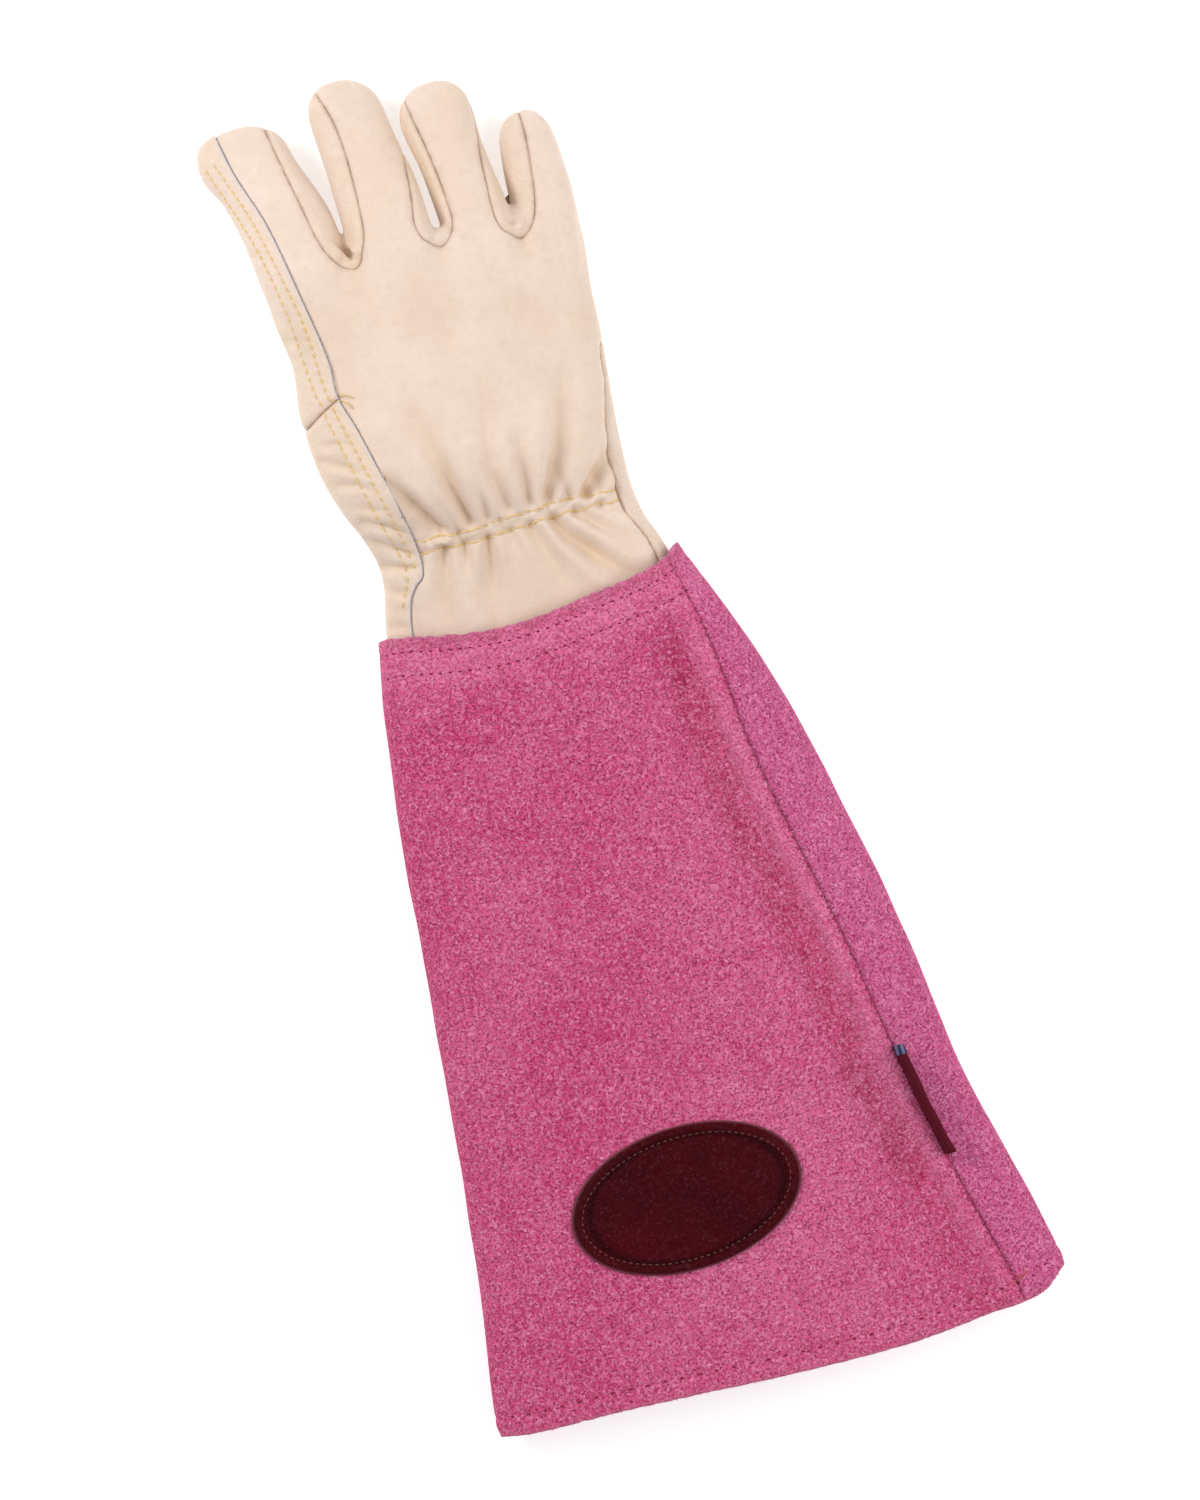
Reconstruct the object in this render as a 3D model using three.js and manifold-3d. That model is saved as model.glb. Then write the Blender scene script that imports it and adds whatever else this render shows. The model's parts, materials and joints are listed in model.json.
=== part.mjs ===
// A right-hand gardening gauntlet lying flat, back of the hand up, thumb folded under the palm.
// Cream leather hand, pink suede cuff, oval leather patch and a folded ribbon tag in the cuff seam.
// Millimetres. +X is the little-finger side, +Y the fingertips, +Z up. Until the last lines the
// origin is the middle of the cuff's upper edge; at the end it moves under the middle of the glove.

import * as THREE from 'three';
import { mergeVertices } from 'three/addons/utils/BufferGeometryUtils.js';
import Module from 'manifold-3d';

const wasm = await Module();
wasm.setup();

// Driving dimensions
const LEATHER = 1.3;            // wall of the hand
const SUEDE = 1.8;              // wall of the cuff
const SEAM_GAP = 0.36;          // space left between two panels at a seam
const LIE_FLAT = 0.7;           // how far the underside is pressed flat by its own weight
const WRIST_END = -23;          // the leather ends here, inside the cuff
const WEB_END = 119.5;          // the web between the fingers would come to a point here
const WEB_ROUND = 15;           // length over which the hand rounds off into the web
const WEB_NARROWS = 3;          // how far each side draws in on the way to the web
const SEAM_DROP = 2;            // the side seams run this far below the middle of the wall

// Facets round each section, and how boxy the section is, 2 being an ellipse
const HAND_SECTION = { sides: 44, boxy: 2.5 };
const FINGER_SECTION = { sides: 16, boxy: 2.3 };
const THUMB_SECTION = { sides: 18, boxy: 2.4 };
const CUFF_SECTION = { sides: 50, upper: 2.5, lower: 5 };
const HAND_STEPS = [-14, -5, 3, 10, 16, 22, 28, 35, 43, 54, 68, 82, 95];
const WEB_STEPS = [0, 0.4, 0.7, 0.9];
const TIP_STEPS = [0, 0.4, 0.66, 0.86, 0.96, 0.998];
const TIP_ROUND = 2.4;          // roundness of a tip seen from above
const SMALLEST_DETAIL = 0.03;   // facets finer than this are merged

// Where the thumb below raises the hand, and by how much
const THUMB_LIFT = { by: 17.2, across: [-14, 56], wrist: [-8, 50], tips: [112, 168] };

// Cutting shapes reach past the glove to these limits
const BEYOND = { left: -75, right: 75, wrist: -30, tips: 182, floor: -15, high: 75, hollow: 4 };

// The hand seen from above: its left and right edge, half its thickness, and the height of its
// middle above the ground where nothing lies below it
const HAND_ROWS = [
  { y: -26, left: -47.6, right: 50.0, half: 11.2, middle: 13.8 },
  { y: -10, left: -47.2, right: 49.4, half: 11.3, middle: 13.8 },
  { y: 0, left: -46.2, right: 47.6, half: 11.2, middle: 13.5 },
  { y: 5, left: -45.2, right: 46.1, half: 11.4, middle: 12.8 },
  { y: 12, left: -43.2, right: 43.6, half: 11.6, middle: 11.9 },
  { y: 20, left: -42.0, right: 42.9, half: 11.0, middle: 10.6 },
  { y: 25, left: -42.5, right: 43.1, half: 11.2, middle: 10.5 },
  { y: 33, left: -44.2, right: 43.7, half: 12.2, middle: 11.5 },
  { y: 40, left: -47.0, right: 44.4, half: 12.8, middle: 12.1 },
  { y: 55, left: -50.0, right: 46.3, half: 12.8, middle: 12.1 },
  { y: 75, left: -50.8, right: 49.3, half: 12.4, middle: 11.7 },
  { y: 90, left: -48.3, right: 51.0, half: 11.9, middle: 11.2 },
  { y: 105, left: -49.3, right: 52.8, half: 11.2, middle: 10.5 },
  { y: 125, left: -50.0, right: 54.0, half: 10.0, middle: 9.3 },
  { y: 150, left: -50.0, right: 54.0, half: 8.8, middle: 8.1 },
  { y: 178, left: -50.0, right: 54.0, half: 7.4, middle: 6.7 },
];

// Each finger from above: the x of its middle and half its width, with half its thickness
const FINGERS = {
  index: {
    tip: 169.3,
    rows: [
      { y: 86, x: -34.0, wide: 13.5, half: 10.8 },
      { y: 105, x: -34.4, wide: 14.5, half: 10.9 },
      { y: 120, x: -35.2, wide: 15.0, half: 10.8 },
      { y: 135, x: -36.2, wide: 14.9, half: 10.4 },
      { y: 147, x: -39.2, wide: 14.3, half: 9.9 },
      { y: 154, x: -42.2, wide: 14.9, half: 9.4 },
      { y: 170, x: -44.0, wide: 14.4, half: 8.4 },
    ],
  },
  middle: {
    tip: 174,
    rows: [
      { y: 86, x: -6.0, wide: 13.4, half: 10.6 },
      { y: 105, x: -5.8, wide: 13.8, half: 10.6 },
      { y: 125, x: -5.9, wide: 13.9, half: 10.4 },
      { y: 137, x: -5.8, wide: 13.5, half: 10.1 },
      { y: 149, x: -6.6, wide: 12.4, half: 9.6 },
      { y: 158, x: -7.0, wide: 12.0, half: 9.0 },
      { y: 175, x: -7.2, wide: 11.4, half: 8.2 },
    ],
  },
  ring: {
    tip: 164.2,
    rows: [
      { y: 86, x: 21.0, wide: 11.4, half: 10.0 },
      { y: 105, x: 21.5, wide: 11.6, half: 9.9 },
      { y: 120, x: 21.5, wide: 11.3, half: 9.6 },
      { y: 136, x: 20.7, wide: 10.7, half: 9.2 },
      { y: 144, x: 20.1, wide: 11.1, half: 9.0 },
      { y: 152, x: 19.8, wide: 11.8, half: 8.7 },
      { y: 165, x: 20.0, wide: 11.6, half: 8.0 },
    ],
  },
  little: {
    tip: 146.6,
    rows: [
      { y: 86, x: 41.0, wide: 9.6, half: 9.4 },
      { y: 105, x: 42.9, wide: 10.0, half: 9.2 },
      { y: 120, x: 43.9, wide: 10.1, half: 8.8 },
      { y: 128, x: 44.3, wide: 9.8, half: 8.5 },
      { y: 136, x: 44.8, wide: 9.2, half: 8.0 },
      { y: 147, x: 45.4, wide: 8.6, half: 7.2 },
    ],
  },
};
const FINGER_CAP = 11;          // length of a rounded fingertip
const FINGER_STEPS = [88, 100, 110, 117, 124, 132, 140, 148, 156];

// The thumb lies between the ground and the palm: middle, half width and half thickness
const THUMB = {
  tip: 117,
  cap: 15,
  rows: [
    { y: 12, x: -13.5, z: 20.0, wide: 13.5, half: 7.5 },
    { y: 22, x: -15.0, z: 15.5, wide: 15.5, half: 8.2 },
    { y: 32, x: -17.0, z: 11.0, wide: 16.8, half: 8.4 },
    { y: 45, x: -19.5, z: 7.6, wide: 17.5, half: 8.0 },
    { y: 70, x: -23.5, z: 7.0, wide: 17.3, half: 7.7 },
    { y: 95, x: -26.5, z: 6.8, wide: 15.8, half: 7.4 },
    { y: 118, x: -28.0, z: 6.4, wide: 14.6, half: 7.0 },
  ],
  steps: [12, 19, 26, 33, 42, 56, 72, 88, 99],
};

// Gathers that the wrist elastic pulls into the back: a valley from one point to another
const GATHERS = [
  { from: [-31, 48], to: [-19, 26], depth: 3.6, spread: 4.5 },
  { from: [-16, 56], to: [-9.6, 28], depth: 2.2, spread: 4.5 },
  { from: [10.8, 45], to: [10, 29], depth: 1.4, spread: 4.5 },
  { from: [29, 51], to: [16, 27], depth: 1.8, spread: 4.5 },
  { from: [38, 30], to: [27, 23], depth: 2.6, spread: 4.5 },
  { from: [-44, 23.5], to: [44, 21.5], depth: 2.6, spread: 5.0 },
  { from: [17.5, 13], to: [32, -3], depth: 2.0, spread: 4.0 },
  { from: [-20, 15], to: [-25, 6], depth: 1.6, spread: 4.0 },
];

// A gather has its full depth down to this share of the upper side, and none at the side seams
const GATHER_REACH = 1.6;

// Seams of the hand seen from above, as the few points that each curve passes through
const LAP_SEAM = [
  [-40.5, -30], [-38.1, -2], [-35.6, 7.5], [-29.4, 14.4], [-28.3, 22.5], [-30, 39], [-34.4, 64],
  [-36.8, 80], [-38.1, 105], [-41.9, 135], [-47.3, 156], [-50.5, 180],
];
const INDEX_MIDDLE_SEAM = [
  [-34.5, 182], [-32.8, 164], [-29.6, 139], [-26.9, 122.5], [-22.5, 115.2], [-17.6, 115.2],
  [-13.6, 124], [-11.5, 145], [-11.4, 166], [-12.6, 182],
];
const MIDDLE_RING_SEAM = [
  [0.5, 182], [3.0, 160], [4.6, 145], [4.4, 131], [3.2, 121], [9, 112.6], [14.4, 121],
  [13.8, 140], [11.8, 158], [10.6, 182],
];
const RING_LITTLE_SEAM = [
  [25.5, 182], [29.0, 156], [29.8, 143], [28.7, 130], [28.6, 113], [34.0, 107.4], [39.8, 113],
  [44.2, 132], [45.4, 146], [45.6, 182],
];
const ULNAR_SEAM = [
  [62, 78], [48.6, 69], [45, 55], [41, 41], [38.4, 25], [38.6, 14], [43, 2.5], [46, -30],
];
const CROSS_SEAM = [[-62, 66], [-47.3, 71.3], [-37.5, 75.6], [-34, 77]];
const PALM_SEAM = [[-20.4, 140], [-20.1, 112], [-16, 107.5], [8, 105], [30, 103.5], [33.4, 108], [33.6, 140]];

// The cuff from above: its upper and lower edge from the left fold (0) to the right fold (1)
const CUFF_EDGES = [
  { across: 0.0, top: -1.0, hem: -253.6 },
  { across: 0.06, top: -1.7, hem: -255.4 },
  { across: 0.2, top: -5.4, hem: -257.0 },
  { across: 0.35, top: -8.3, hem: -259.6 },
  { across: 0.5, top: -8.9, hem: -262.4 },
  { across: 0.7, top: -7.3, hem: -264.7 },
  { across: 0.85, top: -5.9, hem: -263.8 },
  { across: 0.95, top: -3.2, hem: -262.6 },
  { across: 1.0, top: 0.4, hem: -256.5 },
];
// Its two folds from the upper edge (0) to the hem (1), the height of its crown and the seam's place
const CUFF_ROWS = [
  { down: 0.0, left: -49.0, right: 51.0, high: 29.6, seam: 0.955 },
  { down: 0.1, left: -55.2, right: 60.3, high: 30.4, seam: 0.918 },
  { down: 0.25, left: -61.6, right: 70.6, high: 30.6, seam: 0.868 },
  { down: 0.5, left: -70.4, right: 81.0, high: 29.4, seam: 0.876 },
  { down: 0.7, left: -77.8, right: 85.6, high: 27.8, seam: 0.893 },
  { down: 0.85, left: -84.0, right: 91.6, high: 26.6, seam: 0.905 },
  { down: 0.97, left: -90.2, right: 96.8, high: 25.6, seam: 0.914 },
  { down: 1.0, left: -90.4, right: 97.4, high: 25.2, seam: 0.915 },
];
const CUFF_STEPS = [0, 0.04, 0.1, 0.19, 0.29, 0.4, 0.51, 0.62, 0.72, 0.82, 0.91, 1];
// The valley beside the seam, which grows below the upper edge and flattens a little to the hem
const CUFF_VALLEY = { depth: 5.2, beside: 11, spread: 12, grows: [0.02, 0.2], flattens: [0.8, 1], by: 0.5 };
const CUFF_MIDDLE = 0.42;       // height of the side folds as a share of the crown
const CUFF_SLIT = 0.2;          // length of the section near the seam per radian, as a share of the width

const PATCH = { x: -10.6, y: -198.8, long: 37.7, short: 22.9, thick: 1.6, lift: 0.45, rings: 5, sides: 40 };
const TAG = { from: -173.5, to: -211, steps: 6, rise: 7.5, reach: 4.6, thick: 1.3, lift: 0.65 };
// Section of the tag's fold as shares of its reach and rise
const TAG_LEAN = [[0, 0], [0.3, 0.62], [1, 1]];
const SETTLING_ROUNDS = 12;     // rounds of correction when a place on the cuff is looked up

// Between the rows of a table: a smooth curve through one named column
function column(table, key, name) {
  return (at) => {
    let i = 0;
    while (i < table.length - 2 && at > table[i + 1][key]) i += 1;
    const from = table[i];
    const to = table[i + 1];
    const before = table[Math.max(i - 1, 0)];
    const after = table[Math.min(i + 2, table.length - 1)];
    const span = to[key] - from[key];
    const share = THREE.MathUtils.clamp((at - from[key]) / span, 0, 1);
    const slopeIn = (to[name] - before[name]) / (to[key] - before[key]) * span;
    const slopeOut = (after[name] - from[name]) / (after[key] - from[key]) * span;
    const a = 2 * from[name] - 2 * to[name] + slopeIn + slopeOut;
    const b = 3 * to[name] - 3 * from[name] - 2 * slopeIn - slopeOut;
    return ((a * share + b) * share + slopeIn) * share + from[name];
  };
}

function columns(table, key, names) {
  return Object.fromEntries(names.map((name) => [name, column(table, key, name)]));
}

const signedPower = (value, power) => Math.sign(value) * Math.abs(value) ** power;

const hand = columns(HAND_ROWS, 'y', ['left', 'right', 'half', 'middle']);
const cuff = columns(CUFF_ROWS, 'down', ['left', 'right', 'high', 'seam']);
const cuffEdge = columns(CUFF_EDGES, 'across', ['top', 'hem']);

// Height of the middle of the hand, raised on the index side by the thumb that lies below
function middleHeight(x, y) {
  const across = 1 - THREE.MathUtils.smoothstep(x, ...THUMB_LIFT.across);
  const fromWrist = THREE.MathUtils.smoothstep(y, ...THUMB_LIFT.wrist);
  const toTips = 1 - THREE.MathUtils.smoothstep(y, ...THUMB_LIFT.tips);
  return hand.middle(y) + THUMB_LIFT.by * across * fromWrist * toTips;
}

// Depth of all the gathers at one place of the back
function gatherDepth(x, y) {
  let depth = 0;
  for (const fold of GATHERS) {
    const along = new THREE.Vector2(fold.to[0] - fold.from[0], fold.to[1] - fold.from[1]);
    const here = new THREE.Vector2(x - fold.from[0], y - fold.from[1]);
    const share = THREE.MathUtils.clamp(here.dot(along) / along.lengthSq(), 0, 1);
    const away = here.distanceTo(along.multiplyScalar(share));
    depth += fold.depth * Math.exp(-((away / fold.spread) ** 2));
  }
  return depth;
}

// A closed solid from indexed points, turned inside out if it comes out inverted
function solidFrom(points, triangles) {
  const vertProperties = new Float32Array(points.flatMap((p) => [p.x, p.y, p.z]));
  const build = (order) => new wasm.Manifold(new wasm.Mesh({
    numProp: 3, vertProperties, triVerts: new Uint32Array(triangles.flatMap(order)),
  }));
  const solid = build(([a, b, c]) => [a, b, c]);
  return solid.volume() > 0 ? solid : build(([a, b, c]) => [a, c, b]);
}

// A skin through rings of equal length, closed at both ends
function loft(rings) {
  const sides = rings[0].length;
  const points = rings.flat();
  const triangles = [];
  for (let r = 0; r < rings.length - 1; r += 1) {
    for (let s = 0; s < sides; s += 1) {
      const next = (s + 1) % sides;
      const [a, b] = [r * sides + s, r * sides + next];
      triangles.push([a, b, b + sides], [a, b + sides, a + sides]);
    }
  }
  for (const [end, facing] of [[0, -1], [rings.length - 1, 1]]) {
    const middle = rings[end].reduce((sum, p) => sum.add(p), new THREE.Vector3()).divideScalar(sides);
    const centre = points.push(middle) - 1;
    for (let s = 0; s < sides; s += 1) {
      const [a, b] = [end * sides + s, end * sides + (s + 1) % sides];
      triangles.push(facing > 0 ? [centre, a, b] : [centre, b, a]);
    }
  }
  return solidFrom(points, triangles);
}

// An oval ring in the plane of one y; place gives x and z from the two shares -1 to 1
function ovalRing(y, { sides, boxy }, place) {
  return Array.from({ length: sides }, (_, s) => {
    const angle = 2 * Math.PI * (s + 0.5) / sides;
    const across = signedPower(Math.cos(angle), 2 / boxy);
    const up = signedPower(Math.sin(angle), 2 / boxy);
    const [x, z] = place(across, up);
    return new THREE.Vector3(x, y, z);
  });
}

// Body of the hand without fingers; inset makes the hollow inside it
function handBody(inset) {
  const end = WEB_END - inset;
  const start = inset > 0 ? WRIST_END - BEYOND.hollow : WRIST_END;
  const rounding = WEB_STEPS.map((share) => end - WEB_ROUND * (1 - share));
  return loft([start, ...HAND_STEPS, ...rounding].map((y) => {
    const share = THREE.MathUtils.clamp((y - end + WEB_ROUND) / WEB_ROUND, 0, 1);
    const round = Math.sqrt(1 - share ** 2);
    const half = (hand.half(y) - inset) * round;
    const wide = (hand.right(y) - hand.left(y)) / 2 - inset - WEB_NARROWS * (1 - round);
    const centre = (hand.right(y) + hand.left(y)) / 2;
    return ovalRing(y, HAND_SECTION, (across, up) => {
      const x = centre + wide * across;
      const dent = up > 0 ? gatherDepth(x, y) * Math.min(1, GATHER_REACH * up) : 0;
      return [x, Math.max(middleHeight(x, y) + half * up - dent, inset)];
    });
  }));
}

function capped(steps, tip, cap) {
  return [...steps.filter((y) => y < tip - cap - 1), ...TIP_STEPS.map((share) => tip - cap * (1 - share))];
}

function capShare(y, tip, cap) {
  const share = THREE.MathUtils.clamp((y - tip + cap) / cap, 0, 1);
  return (1 - share ** TIP_ROUND) ** (1 / TIP_ROUND);
}

function fingerBody(finger, inset) {
  const shape = columns(finger.rows, 'y', ['x', 'wide', 'half']);
  const tip = finger.tip - inset;
  return loft(capped(FINGER_STEPS, tip, FINGER_CAP).map((y) => {
    const round = capShare(y, tip, FINGER_CAP);
    const centre = shape.x(y);
    const height = middleHeight(centre, y);
    return ovalRing(y, FINGER_SECTION, (across, up) => [
      centre + (shape.wide(y) - inset) * round * across,
      Math.max(height + (shape.half(y) - inset) * round * up, inset),
    ]);
  }));
}

function thumbBody(inset) {
  const shape = columns(THUMB.rows, 'y', ['x', 'z', 'wide', 'half']);
  const tip = THUMB.tip - inset;
  return loft(capped(THUMB.steps, tip, THUMB.cap).map((y) => {
    const round = capShare(y, tip, THUMB.cap);
    return ovalRing(y, THUMB_SECTION, (across, up) => [
      shape.x(y) + (shape.wide(y) - inset) * round * across,
      Math.max(shape.z(y) + (shape.half(y) - inset) * round * up, inset),
    ]);
  }));
}

function joined(solids) {
  return solids.reduce((whole, solid) => whole.add(solid));
}

const BELOW_STEPS = { across: 22, along: 24 };

// Everything below the side seams, which follow the middle of the hand
function belowSeams(raised) {
  const spread = (from, to, steps) => Array.from(
    { length: steps + 1 }, (_, i) => THREE.MathUtils.lerp(from, to, i / steps),
  );
  const xs = spread(BEYOND.left, BEYOND.right, BELOW_STEPS.across);
  return loft(spread(BEYOND.wrist, BEYOND.tips, BELOW_STEPS.along).map((y) => [
    ...xs.map((x) => new THREE.Vector3(x, y, middleHeight(x, y) - SEAM_DROP + raised)),
    new THREE.Vector3(BEYOND.right, y, BEYOND.floor),
    new THREE.Vector3(BEYOND.left, y, BEYOND.floor),
  ]));
}

const POINTS_PER_BEND = 3;

// A smooth curve through a seam's points
function curve(points) {
  const spline = new THREE.SplineCurve(points.map(([x, y]) => new THREE.Vector2(x, y)));
  return spline.getPoints(points.length * POINTS_PER_BEND);
}

// A wall that stands on an outline seen from above
function standing(outline) {
  const depth = BEYOND.high - BEYOND.floor;
  const geometry = new THREE.ExtrudeGeometry(new THREE.Shape(outline), { depth, bevelEnabled: false });
  geometry.translate(0, 0, BEYOND.floor);
  geometry.deleteAttribute('normal');
  geometry.deleteAttribute('uv');
  const merged = mergeVertices(geometry, 1e-4);
  return new wasm.Manifold(new wasm.Mesh({
    numProp: 3,
    vertProperties: merged.attributes.position.array,
    triVerts: new Uint32Array(merged.index.array),
  }));
}

// The narrow slot that a seam leaves between its two panels
function seamSlot(points) {
  const path = curve(points);
  const sides = path.map((point, i) => {
    const along = path[Math.min(i + 1, path.length - 1)].clone().sub(path[Math.max(i - 1, 0)]).normalize();
    const out = new THREE.Vector2(-along.y, along.x).multiplyScalar(SEAM_GAP / 2);
    return [point.clone().add(out), point.clone().sub(out)];
  });
  return standing([...sides.map((pair) => pair[0]), ...sides.map((pair) => pair[1]).reverse()]);
}

// The largest body of a cut, so that no crumb stays in a panel
function mainBody(solid) {
  const bodies = solid.decompose();
  return bodies.reduce((best, body) => (body.volume() > best.volume() ? body : best));
}

// A panel, with its smallest facets and near-equal corners merged
function panel(solid) {
  return mainBody(solid.asOriginal().simplify(SMALLEST_DETAIL));
}

function leatherPanels() {
  const fingers = Object.values(FINGERS);
  const body = (inset) => joined([handBody(inset), ...fingers.map((finger) => fingerBody(finger, inset))]);
  const hollow = body(LEATHER).add(thumbBody(LEATHER));
  const shell = body(0).subtract(hollow);

  const lap = curve(LAP_SEAM);
  const ulnar = curve(ULNAR_SEAM);
  const cross = curve(CROSS_SEAM);
  const uSeams = [INDEX_MIDDLE_SEAM, MIDDLE_RING_SEAM, RING_LITTLE_SEAM].map(curve);
  const corner = (x, y) => new THREE.Vector2(x, y);
  const [ulnarStart, crossStart, crossEnd] = [ULNAR_SEAM[0], CROSS_SEAM[0], CROSS_SEAM.at(-1)];
  const back = standing([...lap, ...uSeams.flat(), corner(ulnarStart[0], BEYOND.tips), ...ulnar]);
  const ulnarSide = standing([
    ...ulnar, corner(BEYOND.right, BEYOND.wrist), corner(BEYOND.right, ulnarStart[1]),
  ]);
  const sideOfIndex = standing([
    ...cross, ...lap.filter((p) => p.y > crossEnd[1]),
    corner(BEYOND.left, BEYOND.tips), corner(BEYOND.left, crossStart[1]),
  ]);
  const sideOfWrist = standing([
    corner(BEYOND.left, BEYOND.wrist), ...lap.filter((p) => p.y < crossEnd[1]),
    ...[...cross].reverse(), corner(BEYOND.left, crossStart[1]),
  ]);
  const [palmStart, palmEnd] = [PALM_SEAM[0], PALM_SEAM.at(-1)];
  const palmFingers = standing([
    ...curve(PALM_SEAM), corner(palmEnd[0], BEYOND.tips), corner(palmStart[0], BEYOND.tips),
  ]);

  const below = belowSeams(0);
  const level = belowSeams(SEAM_GAP / 2).subtract(belowSeams(-SEAM_GAP / 2)).subtract(ulnarSide);
  const topSeams = [LAP_SEAM, INDEX_MIDDLE_SEAM, MIDDLE_RING_SEAM, RING_LITTLE_SEAM, ULNAR_SEAM];
  const topSlots = joined(topSeams.map(seamSlot)).add(seamSlot(CROSS_SEAM).subtract(back)).subtract(below);
  const overlap = 4;
  const palmSlots = seamSlot([...PALM_SEAM, [palmEnd[0], BEYOND.tips]])
    .add(seamSlot([[palmStart[0], palmStart[1] - overlap], [palmStart[0], BEYOND.tips]]))
    .intersect(below);
  const slotted = shell.subtract(level).subtract(topSlots).subtract(palmSlots);

  const above = slotted.subtract(below);
  const palmRegion = below.subtract(palmFingers).add(ulnarSide);
  const fourchettes = uSeams.map((seam) => panel(above.intersect(standing(seam))));
  const grownHand = body(-SEAM_GAP);
  return {
    hand_back: panel(above.intersect(back)),
    hand_palm: panel(slotted.intersect(palmRegion)),
    finger_front: panel(slotted.intersect(below).intersect(palmFingers)),
    fourchette_index_middle: fourchettes[0],
    fourchette_middle_ring: fourchettes[1],
    fourchette_ring_little: fourchettes[2],
    index_side_strip: panel(above.subtract(back).intersect(sideOfIndex)),
    wrist_side_strip: panel(above.subtract(back).intersect(sideOfWrist)),
    thumb: panel(thumbBody(0).subtract(thumbBody(LEATHER)).subtract(grownHand)),
  };
}

// Height of the cuff's crown at a share across and a share down, with the valley beside the seam
function crownHeight(across, down) {
  const side = 2 * across - 1;
  const high = cuff.high(down);
  const arch = (1 - Math.min(Math.abs(side), 1) ** CUFF_SECTION.upper) ** (1 / CUFF_SECTION.upper);
  const width = cuff.right(down) - cuff.left(down);
  const fromValley = (across - cuff.seam(down)) * width + CUFF_VALLEY.beside;
  const grown = THREE.MathUtils.smoothstep(down, ...CUFF_VALLEY.grows);
  const flattened = 1 - CUFF_VALLEY.by * THREE.MathUtils.smoothstep(down, ...CUFF_VALLEY.flattens);
  const valley = CUFF_VALLEY.depth * grown * flattened * Math.exp(-((fromValley / CUFF_VALLEY.spread) ** 2));
  return high * CUFF_MIDDLE + high * (1 - CUFF_MIDDLE) * arch - valley * arch;
}

function cuffPlace(across, down) {
  const x = THREE.MathUtils.lerp(cuff.left(down), cuff.right(down), across);
  const y = THREE.MathUtils.lerp(cuffEdge.top(across), cuffEdge.hem(across), down);
  return [x, y];
}

// The suede wraps once round and its two ends meet at the seam
function cuffPanel() {
  const { sides, upper: crown, lower: flat } = CUFF_SECTION;
  const outer = [];
  const inner = [];
  for (const down of CUFF_STEPS) {
    const width = cuff.right(down) - cuff.left(down);
    const start = Math.acos(signedPower(2 * cuff.seam(down) - 1, crown / 2));
    const turn = 2 * Math.PI - SEAM_GAP / (width * CUFF_SLIT);
    const middle = cuff.high(down) * CUFF_MIDDLE;
    const section = Array.from({ length: sides + 1 }, (_, s) => {
      const angle = start + turn * s / sides;
      const upper = Math.sin(angle) > 0;
      const boxy = upper ? crown : flat;
      const across = 0.5 + 0.5 * signedPower(Math.cos(angle), 2 / boxy);
      const [x, y] = cuffPlace(across, down);
      const droop = (middle + LIE_FLAT) * Math.abs(Math.sin(angle)) ** (2 / boxy);
      const z = upper ? crownHeight(across, down) : Math.max(middle - droop, 0);
      return new THREE.Vector3(x, y, z);
    });
    outer.push(section);
    inner.push(section.map((point, s) => {
      const along = section[Math.min(s + 1, sides)].clone().sub(section[Math.max(s - 1, 0)]);
      const inward = new THREE.Vector3(-along.z, 0, along.x).normalize().multiplyScalar(SUEDE);
      const within = point.clone().add(inward);
      return within.setZ(Math.max(within.z, SUEDE));
    }));
  }
  const rings = outer.map((section, r) => [...section, ...[...inner[r]].reverse()]);
  return sheet(rings);
}

// A sheet whose rings close on themselves, with a flat face at each end
function sheet(rings) {
  const sides = rings[0].length;
  const half = sides / 2;
  const points = rings.flat();
  const triangles = [];
  for (let r = 0; r < rings.length - 1; r += 1) {
    for (let s = 0; s < sides; s += 1) {
      const [a, b] = [r * sides + s, r * sides + (s + 1) % sides];
      triangles.push([a, b, b + sides], [a, b + sides, a + sides]);
    }
  }
  for (const [end, facing] of [[0, -1], [rings.length - 1, 1]]) {
    for (let s = 0; s < half - 1; s += 1) {
      const [a, b] = [end * sides + s, end * sides + s + 1];
      const [c, d] = [end * sides + sides - 2 - s, end * sides + sides - 1 - s];
      const faces = [[a, b, c], [a, c, d]];
      triangles.push(...(facing > 0 ? faces : faces.map(([p, q, t]) => [p, t, q])));
    }
  }
  return solidFrom(points, triangles);
}

// The shares across and down of a place on the crown, found by a few rounds of correction
function cuffShares(x, y) {
  let down = 0.5;
  let across = 0.5;
  for (let round = 0; round < SETTLING_ROUNDS; round += 1) {
    across = (x - cuff.left(down)) / (cuff.right(down) - cuff.left(down));
    down = (y - cuffEdge.top(across)) / (cuffEdge.hem(across) - cuffEdge.top(across));
  }
  return [across, down];
}

const crownAt = (x, y) => crownHeight(...cuffShares(x, y));

// The oval patch follows the crown; each ring is a smaller oval, and its lower face mirrors the upper
function cuffPatch() {
  const layer = (height) => Array.from({ length: PATCH.rings }, (_, r) => {
    const share = 1 - r / PATCH.rings;
    return Array.from({ length: PATCH.sides }, (_, s) => {
      const angle = 2 * Math.PI * s / PATCH.sides;
      const x = PATCH.x + PATCH.long * share * Math.cos(angle);
      const y = PATCH.y + PATCH.short * share * Math.sin(angle);
      return new THREE.Vector3(x, y, crownAt(x, y) + height);
    });
  });
  return loft([...layer(PATCH.lift).reverse(), ...layer(PATCH.lift + PATCH.thick)]);
}

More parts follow.
